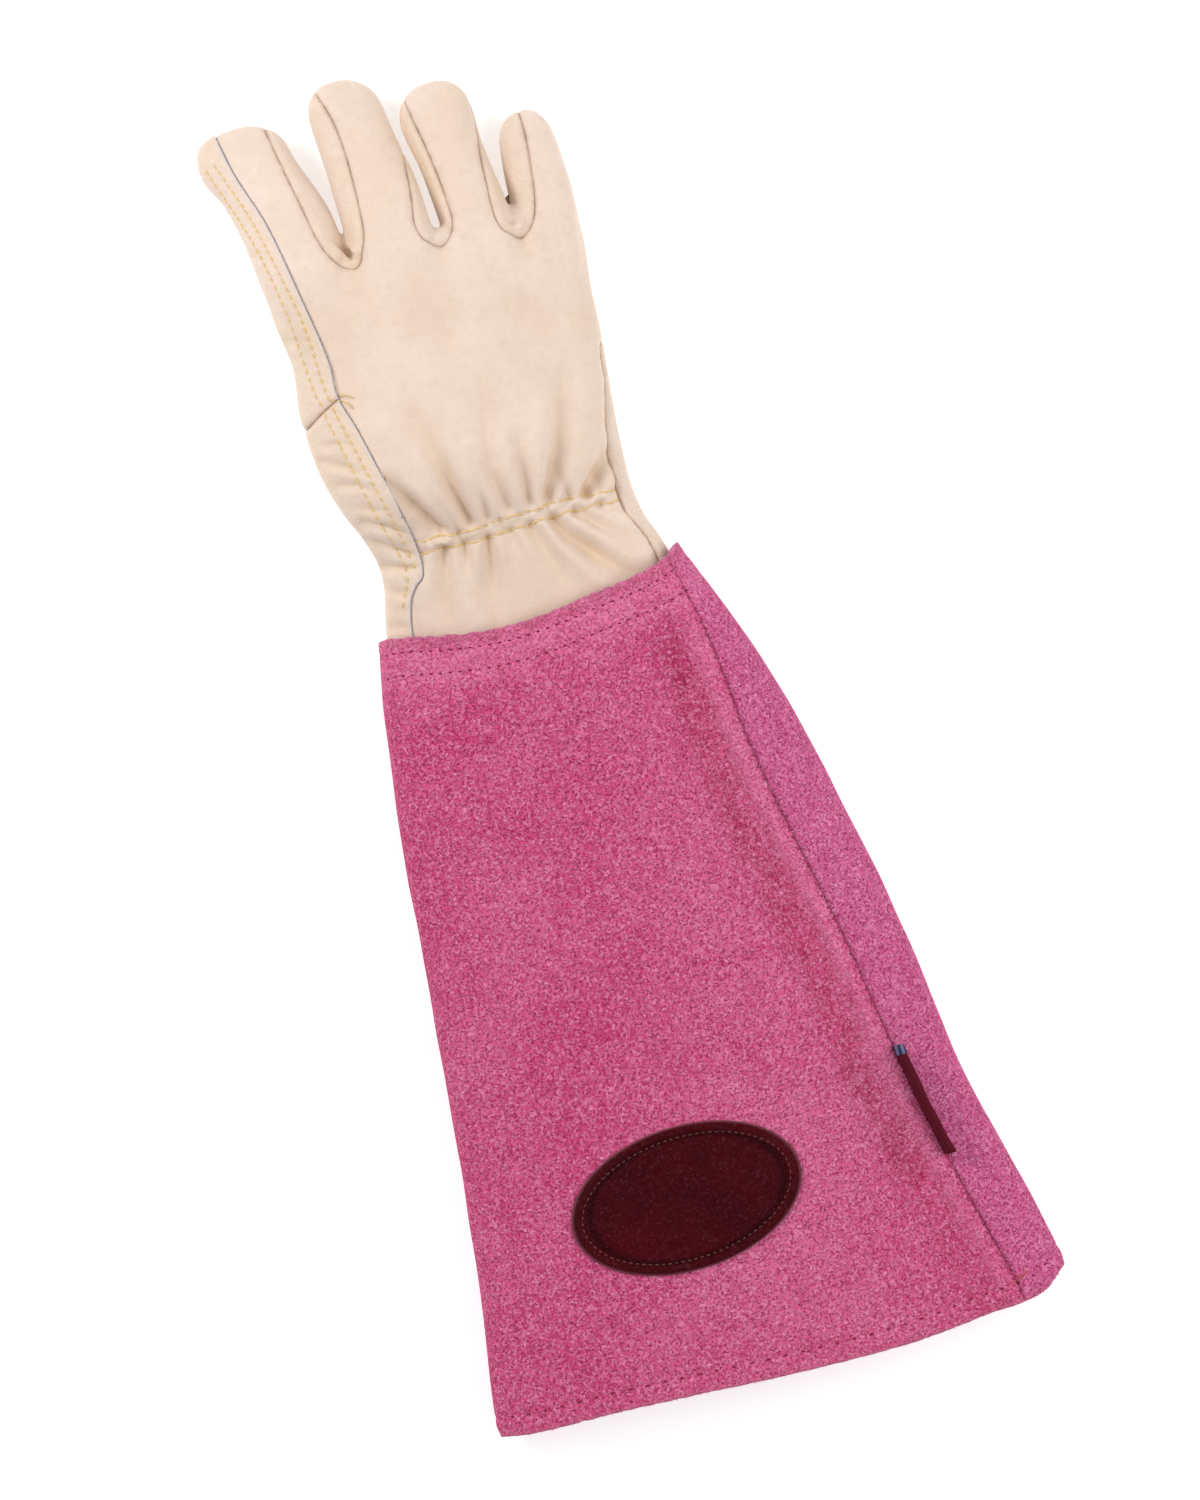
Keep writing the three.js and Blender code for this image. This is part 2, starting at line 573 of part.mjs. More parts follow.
// Where the cuff's seam runs at one y
function seamX(y) {
  let x = cuff.right(0);
  for (let round = 0; round < SETTLING_ROUNDS; round += 1) {
    const down = cuffShares(x, y)[1];
    x = THREE.MathUtils.lerp(cuff.left(down), cuff.right(down), cuff.seam(down));
  }
  return x;
}

// A folded ribbon that stands out of the seam and leans over the narrow side
function cuffTag() {
  const wall = new THREE.Vector3(TAG.thick, 0, -TAG.thick / 5);
  const rings = Array.from({ length: TAG.steps + 1 }, (_, i) => {
    const y = THREE.MathUtils.lerp(TAG.from, TAG.to, i / TAG.steps);
    const x = seamX(y);
    const foot = crownAt(x, y) + TAG.lift;
    const front = TAG_LEAN.map(
      ([out, up]) => new THREE.Vector3(x + TAG.reach * out, y, foot + TAG.rise * up),
    );
    const back = front.map((point) => point.clone().add(wall));
    return [...front, ...back.reverse()];
  });
  return sheet(rings);
}

// The leather parts share one finish with a slightly warmer tone at the sides
const FINISHES = {
  cream: { color: 0xebd8c5, roughness: 0.62 },
  creamSide: { color: 0xe4cdb4, roughness: 0.62 },
  pink: { color: 0xc5587f, roughness: 0.95 },
  burgundy: { color: 0x470a14, roughness: 0.4 },
  ribbon: { color: 0x530c1e, roughness: 0.7 },
};

function meshOf(name, solid, finish) {
  const { numProp, vertProperties, triVerts } = solid.getMesh();
  const positions = new Float32Array(vertProperties.length / numProp * 3);
  for (let i = 0; i < positions.length / 3; i += 1) {
    for (let axis = 0; axis < 3; axis += 1) positions[3 * i + axis] = vertProperties[numProp * i + axis];
  }
  const geometry = new THREE.BufferGeometry();
  geometry.setAttribute('position', new THREE.BufferAttribute(positions, 3));
  geometry.setIndex(new THREE.BufferAttribute(new Uint32Array(triVerts), 1));
  geometry.computeVertexNormals();
  const mesh = new THREE.Mesh(geometry, new THREE.MeshStandardMaterial({ ...finish, metalness: 0 }));
  mesh.name = name;
  return mesh;
}

const glove = new THREE.Group();
for (const [name, solid] of Object.entries(leatherPanels())) {
  glove.add(meshOf(name, solid, /side|fourchette/.test(name) ? FINISHES.creamSide : FINISHES.cream));
}
glove.add(meshOf('cuff_panel', cuffPanel(), FINISHES.pink));
glove.add(meshOf('cuff_patch', cuffPatch(), FINISHES.burgundy));
glove.add(meshOf('cuff_tag', cuffTag(), FINISHES.ribbon));

const box = new THREE.Box3().setFromObject(glove);
glove.position.set(-(box.min.x + box.max.x) / 2, -(box.min.y + box.max.y) / 2, -box.min.z);

const group = new THREE.Group();
group.add(glove);

export default group;
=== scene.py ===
"""Finished surfaces of a long leather and suede gardening glove, lying flat with its back up.

Tables are in millimetres in the glove's own frame: x towards the little finger, y towards the
fingertips, z up, with the origin in the middle of the cuff's upper edge. placed() moves them to
the model's frame, in metres.
"""
import json
import math

import bmesh
import bpy
import numpy as np
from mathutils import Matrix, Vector, noise
from mathutils.bvhtree import BVHTree
from mathutils.kdtree import KDTree

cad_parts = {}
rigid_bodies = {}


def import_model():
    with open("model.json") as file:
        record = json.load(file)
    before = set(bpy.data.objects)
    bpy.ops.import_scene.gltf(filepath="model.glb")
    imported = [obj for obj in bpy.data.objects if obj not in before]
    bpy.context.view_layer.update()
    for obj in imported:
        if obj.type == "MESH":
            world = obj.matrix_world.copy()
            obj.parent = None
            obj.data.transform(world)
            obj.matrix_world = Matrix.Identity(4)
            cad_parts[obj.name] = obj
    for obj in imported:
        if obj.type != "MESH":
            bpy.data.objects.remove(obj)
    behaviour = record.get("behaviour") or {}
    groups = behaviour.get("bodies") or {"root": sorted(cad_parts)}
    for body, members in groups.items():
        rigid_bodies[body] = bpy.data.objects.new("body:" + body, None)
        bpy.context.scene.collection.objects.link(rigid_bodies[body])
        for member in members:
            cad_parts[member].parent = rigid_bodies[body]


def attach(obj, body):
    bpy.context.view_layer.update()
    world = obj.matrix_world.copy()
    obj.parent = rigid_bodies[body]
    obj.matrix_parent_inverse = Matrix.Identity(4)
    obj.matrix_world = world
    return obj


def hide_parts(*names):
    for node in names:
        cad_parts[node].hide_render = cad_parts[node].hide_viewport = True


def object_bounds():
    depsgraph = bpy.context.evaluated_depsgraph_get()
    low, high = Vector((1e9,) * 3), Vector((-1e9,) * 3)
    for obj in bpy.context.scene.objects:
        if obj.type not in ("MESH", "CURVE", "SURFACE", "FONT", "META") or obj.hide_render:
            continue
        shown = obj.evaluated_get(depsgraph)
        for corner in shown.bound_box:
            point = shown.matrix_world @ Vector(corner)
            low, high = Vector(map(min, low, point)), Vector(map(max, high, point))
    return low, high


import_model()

bl_info = {
    "name": "Gardening gauntlet",
    "version": (1, 0, 0),
    "blender": (4, 5, 0),
    "location": "View3D > Sidebar > Glove",
    "description": "Builds the leather, suede and stitching of a long gardening glove",
    "category": "Add Mesh",
}

CAD_LOW, CAD_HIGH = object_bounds()
MM = 0.001

# The glove's own frame against the model's: its widest hem corners and its longest fingertip
HEM_LEFT = -90.4
HEM_RIGHT = 97.4
LONGEST_TIP = 173.98
SHIFT = np.array([
    (CAD_LOW.x + CAD_HIGH.x) / 2 / MM - (HEM_LEFT + HEM_RIGHT) / 2,
    CAD_HIGH.y / MM - LONGEST_TIP,
    0.0,
])

# Construction of the hand
WEB_END = 119.5
WEB_ROUND = 15.0
WRIST_END = -23.0
WRIST_OPENING = 1.0
THUMB_LIFT = 17.2
SEAM_DROP = 2.0
SEAM_REACH = 0.9
HAND_SMOOTHING = 22
THUMB_SMOOTHING = 14
LEAST_HEIGHT = 0.02

# Heights and distances that are well outside the glove
ABOVE_ALL = 120.0
FAR = 1e3


class Table:
    """A short table read as smooth curves: table("left", y) is the column left at y."""

    def __init__(self, key, rows):
        self.keys = np.array([row[key] for row in rows], float)
        self.columns = {name: np.array([row[name] for row in rows], float) for name in rows[0]}

    def __call__(self, name, at):
        keys, values = self.keys, self.columns[name]
        at = np.asarray(at, float)
        i = np.clip(np.searchsorted(keys, at, side="right") - 1, 0, len(keys) - 2)
        before, after = np.maximum(i - 1, 0), np.minimum(i + 2, len(keys) - 1)
        span = keys[i + 1] - keys[i]
        share = np.clip((at - keys[i]) / span, 0, 1)
        slope_in = (values[i + 1] - values[before]) / (keys[i + 1] - keys[before]) * span
        slope_out = (values[after] - values[i]) / (keys[after] - keys[i]) * span
        cubic = 2 * values[i] - 2 * values[i + 1] + slope_in + slope_out
        square = 3 * values[i + 1] - 3 * values[i] - 2 * slope_in - slope_out
        return ((cubic * share + square) * share + slope_in) * share + values[i]


def rows(names, *lines):
    """A table's rows as dictionaries with the column names given once."""
    return [dict(zip(names.split(), line)) for line in lines]


HAND = Table("y", rows(
    "y left right half middle",
    (-26, -47.6, 50.0, 11.2, 13.8),
    (-10, -47.2, 49.4, 11.3, 13.8),
    (0, -46.2, 47.6, 11.2, 13.5),
    (5, -45.2, 46.1, 11.4, 12.8),
    (12, -43.2, 43.6, 11.6, 11.9),
    (20, -42.0, 42.9, 11.0, 10.6),
    (25, -42.5, 43.1, 11.2, 10.5),
    (33, -44.2, 43.7, 12.2, 11.5),
    (40, -47.0, 44.4, 12.8, 12.1),
    (55, -50.0, 46.3, 12.8, 12.1),
    (75, -50.8, 49.3, 12.4, 11.7),
    (90, -48.3, 51.0, 11.9, 11.2),
    (105, -49.3, 52.8, 11.2, 10.5),
    (125, -50.0, 54.0, 10.0, 9.3),
    (150, -50.0, 54.0, 8.8, 8.1),
    (178, -50.0, 54.0, 7.4, 6.7),
))

# Each finger: its tip, then the middle of its width, half its width and half its thickness at each y
FINGERS = {
    "index": (169.5, Table("y", rows(
        "y x wide half",
        (86, -34.0, 13.5, 10.8), (105, -34.4, 14.5, 10.9), (120, -35.3, 14.7, 10.8),
        (135, -36.4, 14.8, 10.4), (147, -39.2, 14.3, 9.9), (154, -42.0, 14.9, 9.4),
        (162, -43.2, 15.0, 8.9), (170, -43.6, 14.4, 8.4),
    ))),
    "middle": (174.2, Table("y", rows(
        "y x wide half",
        (86, -6.0, 13.4, 10.6), (105, -5.8, 13.8, 10.6), (125, -5.7, 13.5, 10.4),
        (137, -5.8, 13.4, 10.1), (149, -6.6, 12.5, 9.6), (158, -7.1, 12.2, 9.0),
        (167, -7.6, 11.9, 8.6), (175, -9.0, 11.0, 8.2),
    ))),
    "ring": (164.4, Table("y", rows(
        "y x wide half",
        (86, 21.0, 11.4, 10.0), (105, 21.6, 11.5, 9.9), (120, 21.6, 11.2, 9.6),
        (136, 20.7, 10.8, 9.2), (144, 20.1, 11.2, 9.0), (152, 19.8, 11.9, 8.7), (165, 20.0, 11.7, 8.0),
    ))),
    "little": (146.8, Table("y", rows(
        "y x wide half",
        (86, 41.0, 9.6, 9.4), (105, 43.0, 9.9, 9.2), (120, 44.0, 10.1, 8.8),
        (128, 44.4, 9.8, 8.5), (136, 44.9, 9.1, 8.0), (147, 45.4, 8.6, 7.2),
    ))),
}
FINGER_ROOT = 80.0
FINGER_FULL = 114.0
FINGER_CAP = 12.5

# Where the rings of a rounded tip lie along it, and how boxy its outline is
TIP_RINGS = np.array([0, 0.25, 0.45, 0.62, 0.76, 0.87, 0.95, 0.99])
TIP_ROUND = 2.4

THUMB = Table("y", rows(
    "y x z wide half",
    (12, -13.5, 20.0, 13.5, 7.5), (22, -15.0, 15.5, 15.5, 8.2), (32, -17.0, 11.0, 16.8, 8.4),
    (45, -19.5, 7.6, 17.5, 8.0), (70, -23.5, 7.0, 17.3, 7.7), (95, -26.5, 6.8, 15.8, 7.4),
    (118, -28.0, 6.4, 14.6, 7.0),
))
THUMB_ROOT = 12.0
THUMB_TIP = 117.0
THUMB_CAP = 15.0

# Seams of the hand seen from above, as the few points that each curve passes through
SEAMS = {
    "lap": [(-40.5, -30), (-38.1, -2), (-35.6, 7.5), (-32.5, 12), (-29.4, 14.4), (-28.3, 20), (-28.8, 30),
            (-31.5, 47.5), (-34.4, 64), (-37.3, 76.5), (-36.6, 88), (-38.1, 105), (-41.9, 135),
            (-47.3, 156), (-50.5, 180)],
    "index_middle": [(-34.5, 182), (-32.8, 164), (-29.6, 139), (-26.9, 122.5), (-22.5, 115.2),
                     (-17.6, 115.2), (-13.6, 124), (-11.6, 145), (-11.9, 160), (-14.6, 172), (-16.5, 182)],
    "middle_ring": [(4.5, 182), (5.6, 166), (6.4, 152), (6.3, 143), (4.9, 131), (3.1, 121), (4.4, 115.6),
                    (9, 112.6), (13.0, 115.2), (14.4, 121), (13.8, 140), (11.8, 158), (10.6, 182)],
    "ring_little": [(30.0, 182), (31.5, 158), (31.0, 145), (29.0, 130), (28.5, 113), (34.3, 107.4),
                    (39.9, 113), (44.2, 132), (45.4, 146), (45.6, 182)],
    "ulnar": [(62, 78), (48.6, 69), (45, 55), (41, 41), (38.4, 25), (38.6, 14), (43, 2.5), (46, -30)],
    "cross": [(-62, 64.5), (-47.3, 71.3), (-37.5, 75.6), (-34, 77)],
    "palm": [(-20.4, 184), (-20.4, 140), (-20.1, 112), (-16, 107.5), (8, 105), (30, 103.5), (33.4, 108),
             (33.6, 140), (33.6, 184)],
}

# The cuff: its edges across, then its folds, crown and seam down its length
CUFF_EDGES = Table("across", rows(
    "across top hem",
    (0.0, -1.0, -253.6), (0.06, -1.7, -255.4), (0.2, -5.4, -257.0), (0.35, -8.3, -259.6),
    (0.5, -8.9, -262.4), (0.7, -7.3, -264.7), (0.85, -5.9, -263.8), (0.95, -3.2, -262.6),
    (1.0, 0.4, -256.5),
))
CUFF = Table("down", rows(
    "down left right high seam",
    (0.0, -49.0, 51.0, 29.6, 0.955), (0.1, -55.2, 60.2, 30.4, 0.919), (0.25, -61.6, 70.1, 30.6, 0.871),
    (0.5, -70.4, 80.5, 29.4, 0.879), (0.7, -77.8, 85.2, 27.8, 0.895), (0.85, -84.0, 91.2, 26.6, 0.905),
    (0.97, -90.2, 96.8, 25.6, 0.914), (1.0, -90.4, 97.4, 25.2, 0.915),
))
CUFF_VALLEY_DEPTH = 5.0
CUFF_VALLEY_BESIDE = 11.5
CUFF_VALLEY_SPREAD = 8.5
CUFF_UPPER_ROUND = 3.0
CUFF_LOWER_ROUND = 5.0
CUFF_MIDDLE = 0.42
LIE_FLAT = 0.7
CUFF_OPEN_SEAM = 0.0008

# Places round the cuff: over the crown, round underneath, and up again to the seam
CROWN_STEPS = 180
UNDER_STEPS = 62
RISING_STEPS = 24

# Sewn rows of the cuff: how far they lie below its upper edge and above its hem
CUFF_TOP_ROWS = (4.6, 11.8)
CUFF_HEM_ROW = 6.3
SEWN_WIDTH = 0.9

# The oval patch, and the line of sewing inside its rim
PATCH_CENTRE = (-10.6, -198.8)
PATCH_HALVES = (37.7, 22.9)
PATCH_SEWN_LINE = 3.6
PATCH_SIDES = 200

# The tag: where the seam holds it, and its loop of ribbon as (side, up) from the seam
TAG_FROM = -173.5
TAG_TO = -211.0
TAG_LOOP = [(0.1, -0.4), (0.1, 2.2), (0.4, 4.6), (1.1, 6.6), (2.2, 7.8), (2.9, 7.7), (2.9, 7.0),
            (2.0, 5.9), (1.4, 4.2), (1.1, 2.1), (1.05, -0.4)]
RIBBON_WALL = 0.0004

# Valleys of the back's folds and gathers: each runs through points (x, y, depth, width)
FOLDS = [
    [(-33, 51, 0.0, 3.0), (-30, 45, 1.3, 2.6), (-25, 36, 2.8, 2.2), (-19, 26, 2.6, 1.5)],
    [(-29.5, 38, 0.0, 2.4), (-26.5, 31, 1.4, 2.2), (-23, 26.5, 1.4, 1.8)],
    [(-18, 74, 0.0, 5.0), (-15.8, 60, 0.9, 4.0), (-13.3, 47.5, 1.8, 3.0), (-11.7, 37, 2.5, 2.4),
     (-9.6, 26, 2.2, 1.5)],
    [(9, 72, 0.0, 5.0), (5.5, 56, 0.8, 4.2), (2, 40, 1.2, 3.2), (3, 27, 1.5, 1.7)],
    [(15, 54, 0.0, 3.5), (13, 45, 1.0, 3.0), (10, 27, 1.6, 1.7)],
    [(34, 66, 0.0, 5.0), (30, 53, 1.3, 4.0), (24, 38, 2.3, 3.2), (16, 26.5, 2.3, 1.6)],
    [(41.5, 36, 0.0, 3.0), (37, 31, 1.9, 2.6), (28, 24, 2.5, 1.6)],
    [(-3.6, 36, 0.0, 2.2), (-4.4, 26, 1.1, 1.3)],
    [(21.5, 36, 0.0, 2.2), (22.5, 25, 1.1, 1.3)],
    [(33.5, 33, 0.0, 2.0), (33, 24, 1.1, 1.3)],
    [(-20.4, 20, 1.4, 1.6), (-22.8, 13, 1.4, 2.6), (-25.2, 5, 1.3, 3.2), (-26.4, -6, 0.7, 3.5),
     (-26, -12, 0.0, 3.5)],
    [(-13.5, 19.5, 1.0, 1.3), (-15.5, 12, 0.5, 1.8), (-17, 6, 0.0, 2.4)],
    [(-5.8, 19, 1.4, 1.4), (-7.2, 13, 1.6, 2.2), (-9.8, 4, 1.1, 3.0), (-12, -9, 0.5, 3.0)],
    [(1.5, 19, 0.9, 1.2), (1.5, 13, 0.4, 1.7), (1, 8, 0.0, 2.2)],
    [(8, 19, 1.3, 1.4), (10, 12, 1.2, 2.2), (12.5, 2.5, 0.8, 3.0), (13, -7, 0.0, 3.4)],
    [(15.5, 19, 1.7, 1.5), (19, 12.5, 2.4, 2.4), (25, 5, 2.6, 3.0), (33, -4, 1.6, 3.8),
     (38, -10, 0.0, 4.2)],
    [(23, 19, 1.3, 1.3), (28, 13.5, 1.7, 2.1), (36, 5, 1.3, 3.0), (42, -1, 0.0, 3.4)],
    [(31, 18.6, 1.0, 1.2), (35, 14.5, 0.6, 1.7), (39, 11, 0.0, 2.0)],
    [(-19.3, 115, 0.9, 2.6), (-19.6, 108, 0.5, 3.4), (-19.8, 99, 0.0, 4.0)],
    [(-22.6, 125.5, 0.0, 0.9), (-20.9, 120.6, 2.0, 0.8), (-19.2, 118.0, 1.2, 0.8)],
    [(9, 112, 0.8, 2.6), (8.5, 106, 0.4, 3.4), (8, 98, 0.0, 4.0)],
    [(34.3, 107, 0.9, 2.4), (34, 101, 0.5, 3.4), (33, 92, 0.0, 4.5)],
    [(-31, 100, 0.0, 7.0), (-33, 82, 0.9, 6.0), (-30, 62, 0.0, 7.0)],
    [(14, 96, 0.0, 8.0), (28, 84, 0.9, 7.0), (42, 74, 0.0, 8.0)],
    [(-4, 99, 0.0, 7.0), (2, 84, 0.7, 7.0), (0, 66, 0.0, 7.0)],
]

# Creases across the narrow strip, in the same way
STRIP_CREASES = [
    [(-49, 63.6, 0.0, 1.2), (-43, 62.6, 0.7, 1.2), (-36, 60.4, 0.0, 1.0)],
    [(-48, 58.4, 0.5, 1.4), (-42, 55, 0.9, 1.4), (-37, 50.4, 0.2, 1.2)],
    [(-46, 49.8, 0.5, 1.5), (-40, 48, 1.0, 1.4), (-35.5, 45.0, 0.3, 1.1)],
    [(-43, 41.5, 0.3, 1.2), (-38, 39.6, 0.7, 1.2), (-34, 38.0, 0.1, 1.0)],
    [(-42, 36.3, 0.5, 1.5), (-36, 33.5, 1.1, 1.3), (-30, 29.3, 0.4, 1.1)],
    [(-43, 30.6, 0.6, 1.5), (-37, 27, 1.2, 1.4), (-31, 22.4, 0.5, 1.1)],
    [(-42, 21.4, 0.6, 1.5), (-36, 19.6, 1.1, 1.4), (-30, 17.4, 0.4, 1.1)],
    [(-43, 15.0, 0.4, 1.6), (-38, 12.0, 0.9, 1.6), (-34, 10.0, 0.1, 1.2)],
    [(-45, 3.0, 0.3, 1.8), (-41, 1.5, 0.6, 1.8), (-38, 0.0, 0.1, 1.4)],
    [(-53, 128, 0.3, 1.5), (-48, 127, 0.5, 1.5), (-44, 124, 0.0, 1.4)],
    [(-50, 99, 0.3, 1.6), (-45, 97.5, 0.5, 1.6), (-39, 96, 0.0, 1.4)],
]

# Creases of the palm side, in the same way
PALM_CREASES = [
    [(46, 84, 0.0, 2.4), (30, 78, 1.1, 2.2), (10, 81, 1.2, 2.4), (-6, 90, 0.0, 2.4)],
    [(-2, 84, 0.0, 2.4), (8, 66, 1.0, 2.6), (12, 46, 0.9, 2.8), (10, 30, 0.0, 2.8)],
    [(42, 56, 0.0, 2.4), (28, 52, 0.8, 2.6), (14, 58, 0.0, 2.4)],
    [(-36, 134, 0.0, 2.0), (-30, 133, 0.8, 1.8), (-24, 134, 0.0, 2.0)],
    [(-12, 138, 0.0, 2.0), (-5, 137, 0.8, 1.8), (1, 138, 0.0, 2.0)],
    [(14, 134, 0.0, 2.0), (20, 133, 0.8, 1.8), (26, 134, 0.0, 2.0)],
    [(36, 124, 0.0, 1.8), (43, 123, 0.7, 1.6), (49, 124, 0.0, 1.8)],
    [(6, 34, 0.0, 2.4), (5, 22, 1.3, 1.6), (4, 10, 0.8, 2.2), (3, -4, 0.0, 2.8)],
    [(16, 32, 0.0, 2.4), (16, 21, 1.1, 1.5), (17, 8, 0.6, 2.2), (18, -4, 0.0, 2.8)],
    [(27, 34, 0.0, 2.4), (27, 20, 1.3, 1.6), (29, 8, 0.8, 2.2), (32, -6, 0.0, 2.8)],
    [(36, 30, 0.0, 2.2), (36, 19, 1.0, 1.5), (38, 8, 0.0, 2.4)],
    [(-14, 26, 0.0, 2.4), (-15, 16, 1.2, 1.8), (-16, 2, 0.0, 2.8)],
    [(-28, 26, 0.0, 2.4), (-29, 16, 1.2, 1.8), (-31, 2, 0.0, 2.8)],
]

# Tucks at the bottom of the gaps between the fingers: raised knots and the pits beside them
WEB_TUCKS = rows(
    "x y height size",
    (-17.6, 118.2, 1.3, 1.3),
    (-22.6, 117.4, -0.6, 1.0),
    (8.8, 115.0, 0.6, 1.6),
    (32.6, 112.9, -1.0, 1.1),
    (34.8, 110.8, 0.9, 1.2),
    (37.2, 112.4, -0.7, 0.9),
)

# Stitch rows seen from above
STRIP_ROWS = {
    "upper_outer": [(-55, 158), (-53, 151), (-50.6, 142.5), (-47.5, 130), (-45.6, 117.5), (-44.4, 105),
                    (-44.1, 92.5), (-43.8, 80), (-43, 76)],
    "upper_inner": [(-51.9, 159), (-49.4, 150.6), (-46.5, 140), (-43.8, 126), (-42.1, 115), (-40.6, 104),
                    (-40.2, 92.5), (-40.4, 82.5), (-40, 77)],
    "lower_left": [(-42.8, 71.5), (-40.6, 57.5), (-38.8, 46), (-36.9, 35), (-34.4, 24), (-34.0, 16),
                   (-38, 8)],
    "lower_right": [(-39.6, 72.5), (-37.3, 60), (-35.4, 49), (-33.6, 39), (-31.8, 27.5), (-31.2, 19)],
}
# Thread ends left at the crossing of the strips: x, y and height above the leather
LOOSE_ENDS = [
    [(-37.4, 75.2, 0.1), (-36.0, 74.6, 0.9), (-34.6, 73.2, 0.8), (-33.6, 71.4, 0.3)],
    [(-37.0, 76.0, 0.1), (-35.6, 76.6, 1.1), (-34.0, 75.9, 1.2), (-32.9, 74.6, 0.5)],
    [(-40.2, 77.2, 0.1), (-39.2, 75.6, 0.7), (-38.0, 74.9, 0.3)],
]
ELASTIC_ROWS = {
    "elastic_upper": [(-28, 25.4), (-20, 24.6), (-10, 23.4), (0, 23.9), (10, 23.7), (20, 23.8),
                      (29, 22.8), (37, 22)],
    "elastic_lower": [(-28, 21.4), (-20, 21.0), (-10, 19.5), (0, 19.8), (10, 19.7), (20, 19.6),
                      (29, 19.2), (37, 18.6)],
}
# A bar of close stitches at the hem, beside the seam
HEM_BAR = [(79.4, -256.6), (81.0, -256.2), (82.8, -255.6), (84.4, -254.8)]

# Stitches other than the strips': pitch and seen length in metres, and thread against the strips'
STITCHES = {
    "elastic": (0.0024, 0.0022, 1.0),
    "cuff_top": (0.0031, 0.0010, 0.9),
    "hem": (0.0056, 0.0012, 0.95),
    "hem_bar": (0.0007, 0.0018, 0.7),
    "cuff_seam": (0.0041, 0.0010, 0.5),
    "patch": (0.0021, 0.0010, 0.75),
}
LOOSE_THREAD = 0.7
THREAD_SIDES = 6
FIBRE_SIDES = 3
STITCH_LIFT = 0.00004
FIBRE_ROOT = 0.0001

# Lumps and wrinkles of soft leather: each is noise over a plan that leans with the height
LEATHER_LUMPS = rows(
    "size height lean squeeze seed",
    (31.0, 0.6, 0.6, 1.0, 1.7),
    (12.0, 0.36, -0.5, 0.7, 5.2),
    (4.6, 0.09, 0.4, 0.8, 7.4),
)
COARSE_PUCKERS = 7.4
FINE_PUCKERS = 2.9

# The cream leathers: their grain, its height, their pores, and the tints of the pale and the warm tone
LEATHERS = {leather["name"]: leather for leather in rows(
    "name grain bump pores pale_tint warm_tint",
    ("Cream back", 1150.0, 0.32, 0.1, (1.0, 1.0, 1.0), (1.0, 1.0, 1.0)),
    ("Cream palm", 900.0, 0.55, 0.3, (1.0, 1.0, 1.0), (1.0, 1.0, 1.0)),
    ("Cream side", 900.0, 0.5, 0.16, (0.97, 0.97, 0.97), (1.02, 1.01, 0.95)),
)}

# The stage: what the camera aims at, its lens, sensor and view's height, and the lamps
AIM = (7.17, -55.24, 14.0)
LENS = 220.0
SENSOR = 36.0
VIEW_HEIGHT = 0.4777
CAMERA_TURN = -18
FLOOR_HALF = 3.0
FLOOR_HEIGHT = -0.0004
LAMPS = rows(
    "name offset size power",
    ("key", (-0.95, 0.95, 1.0), 0.7, 14.5),
    ("fill", (1.2, -0.2, 1.2), 1.6, 16.2),
)
AMBIENT = 0.51


def placed(points):
    """Points in millimetres of the glove's frame, as metres of the model's frame."""
    return (np.asarray(points, float) + SHIFT) * MM


def unplaced(points):
    """Points in metres of the model's frame, as millimetres of the glove's frame."""
    return np.asarray(points, float) / MM - SHIFT


def smoothstep(value, low, high):
    """0 below low and 1 above high, with a smooth rise between them."""
    share = np.clip((np.asarray(value, float) - low) / (high - low), 0, 1)
    return share * share * (3 - 2 * share)


def signed_power(value, power):
    """A power that keeps the value's sign."""
    return np.sign(value) * np.abs(value) ** power


def wander(x, y, size, seed):
    """Smooth noise from about -1 to 1 over a plan, with lumps of the given size in millimetres."""
    return np.array([
        noise.noise(Vector((a / size, b / size, seed)))
        for a, b in zip(np.ravel(x), np.ravel(y))
    ]).reshape(np.shape(x))


def middle_height(x, y):
    """Height of the middle of the hand, raised on the index side by the thumb below it."""
    across = 1 - smoothstep(x, -14, 56)
    along = smoothstep(y, -8, 50) * (1 - smoothstep(y, 112, 168))
    return HAND("middle", y) + THUMB_LIFT * across * along


def seam_curve(points, step=0.5):
    """A smooth curve through a seam's points, as points about step millimetres apart."""
    points = np.array(points, float)
    at = np.concatenate([[0], np.cumsum(np.hypot(*np.diff(points, axis=0).T))])
    curve = Table("at", [{"at": a, "x": p[0], "y": p[1]} for a, p in zip(at, points)])
    fine = np.linspace(0, at[-1], max(2, int(at[-1] / step)))
    return np.column_stack([curve("x", fine), curve("y", fine)])


def inside(outline, x, y):
    """Which places lie inside a closed outline seen from above."""
    result = np.zeros(x.shape, bool)
    for (x0, y0), (x1, y1) in zip(outline, np.roll(outline, -1, axis=0)):
        if y0 == y1:
            continue
        crosses = (y0 > y) != (y1 > y)
        result ^= crosses & (x < (x1 - x0) * (y - y0) / (y1 - y0) + x0)
    return result


def nearest(points, targets):
    """Distance from each point to the closest target."""
    if len(targets) == 0:
        return np.full(len(points), FAR)
    tree = KDTree(len(targets))
    for i, target in enumerate(targets):
        tree.insert(target, i)
    tree.balance()
    return np.array([tree.find(point)[2] for point in points])


def bell(distance, width):
    """1 at no distance, falling smoothly to almost nothing at twice the width."""
    return np.exp(-(np.asarray(distance) / width) ** 2)


# Meshes

def mesh_object(name, points, faces, smooth=True):
    """A mesh object from points in metres and faces of any size."""
    mesh = bpy.data.meshes.new(name)
    mesh.from_pydata([tuple(p) for p in np.asarray(points)], [], [tuple(map(int, f)) for f in faces])
    mesh.update()
    if smooth:
        mesh.shade_smooth()
    obj = bpy.data.objects.new(name, mesh)
    bpy.context.scene.collection.objects.link(obj)
    return obj


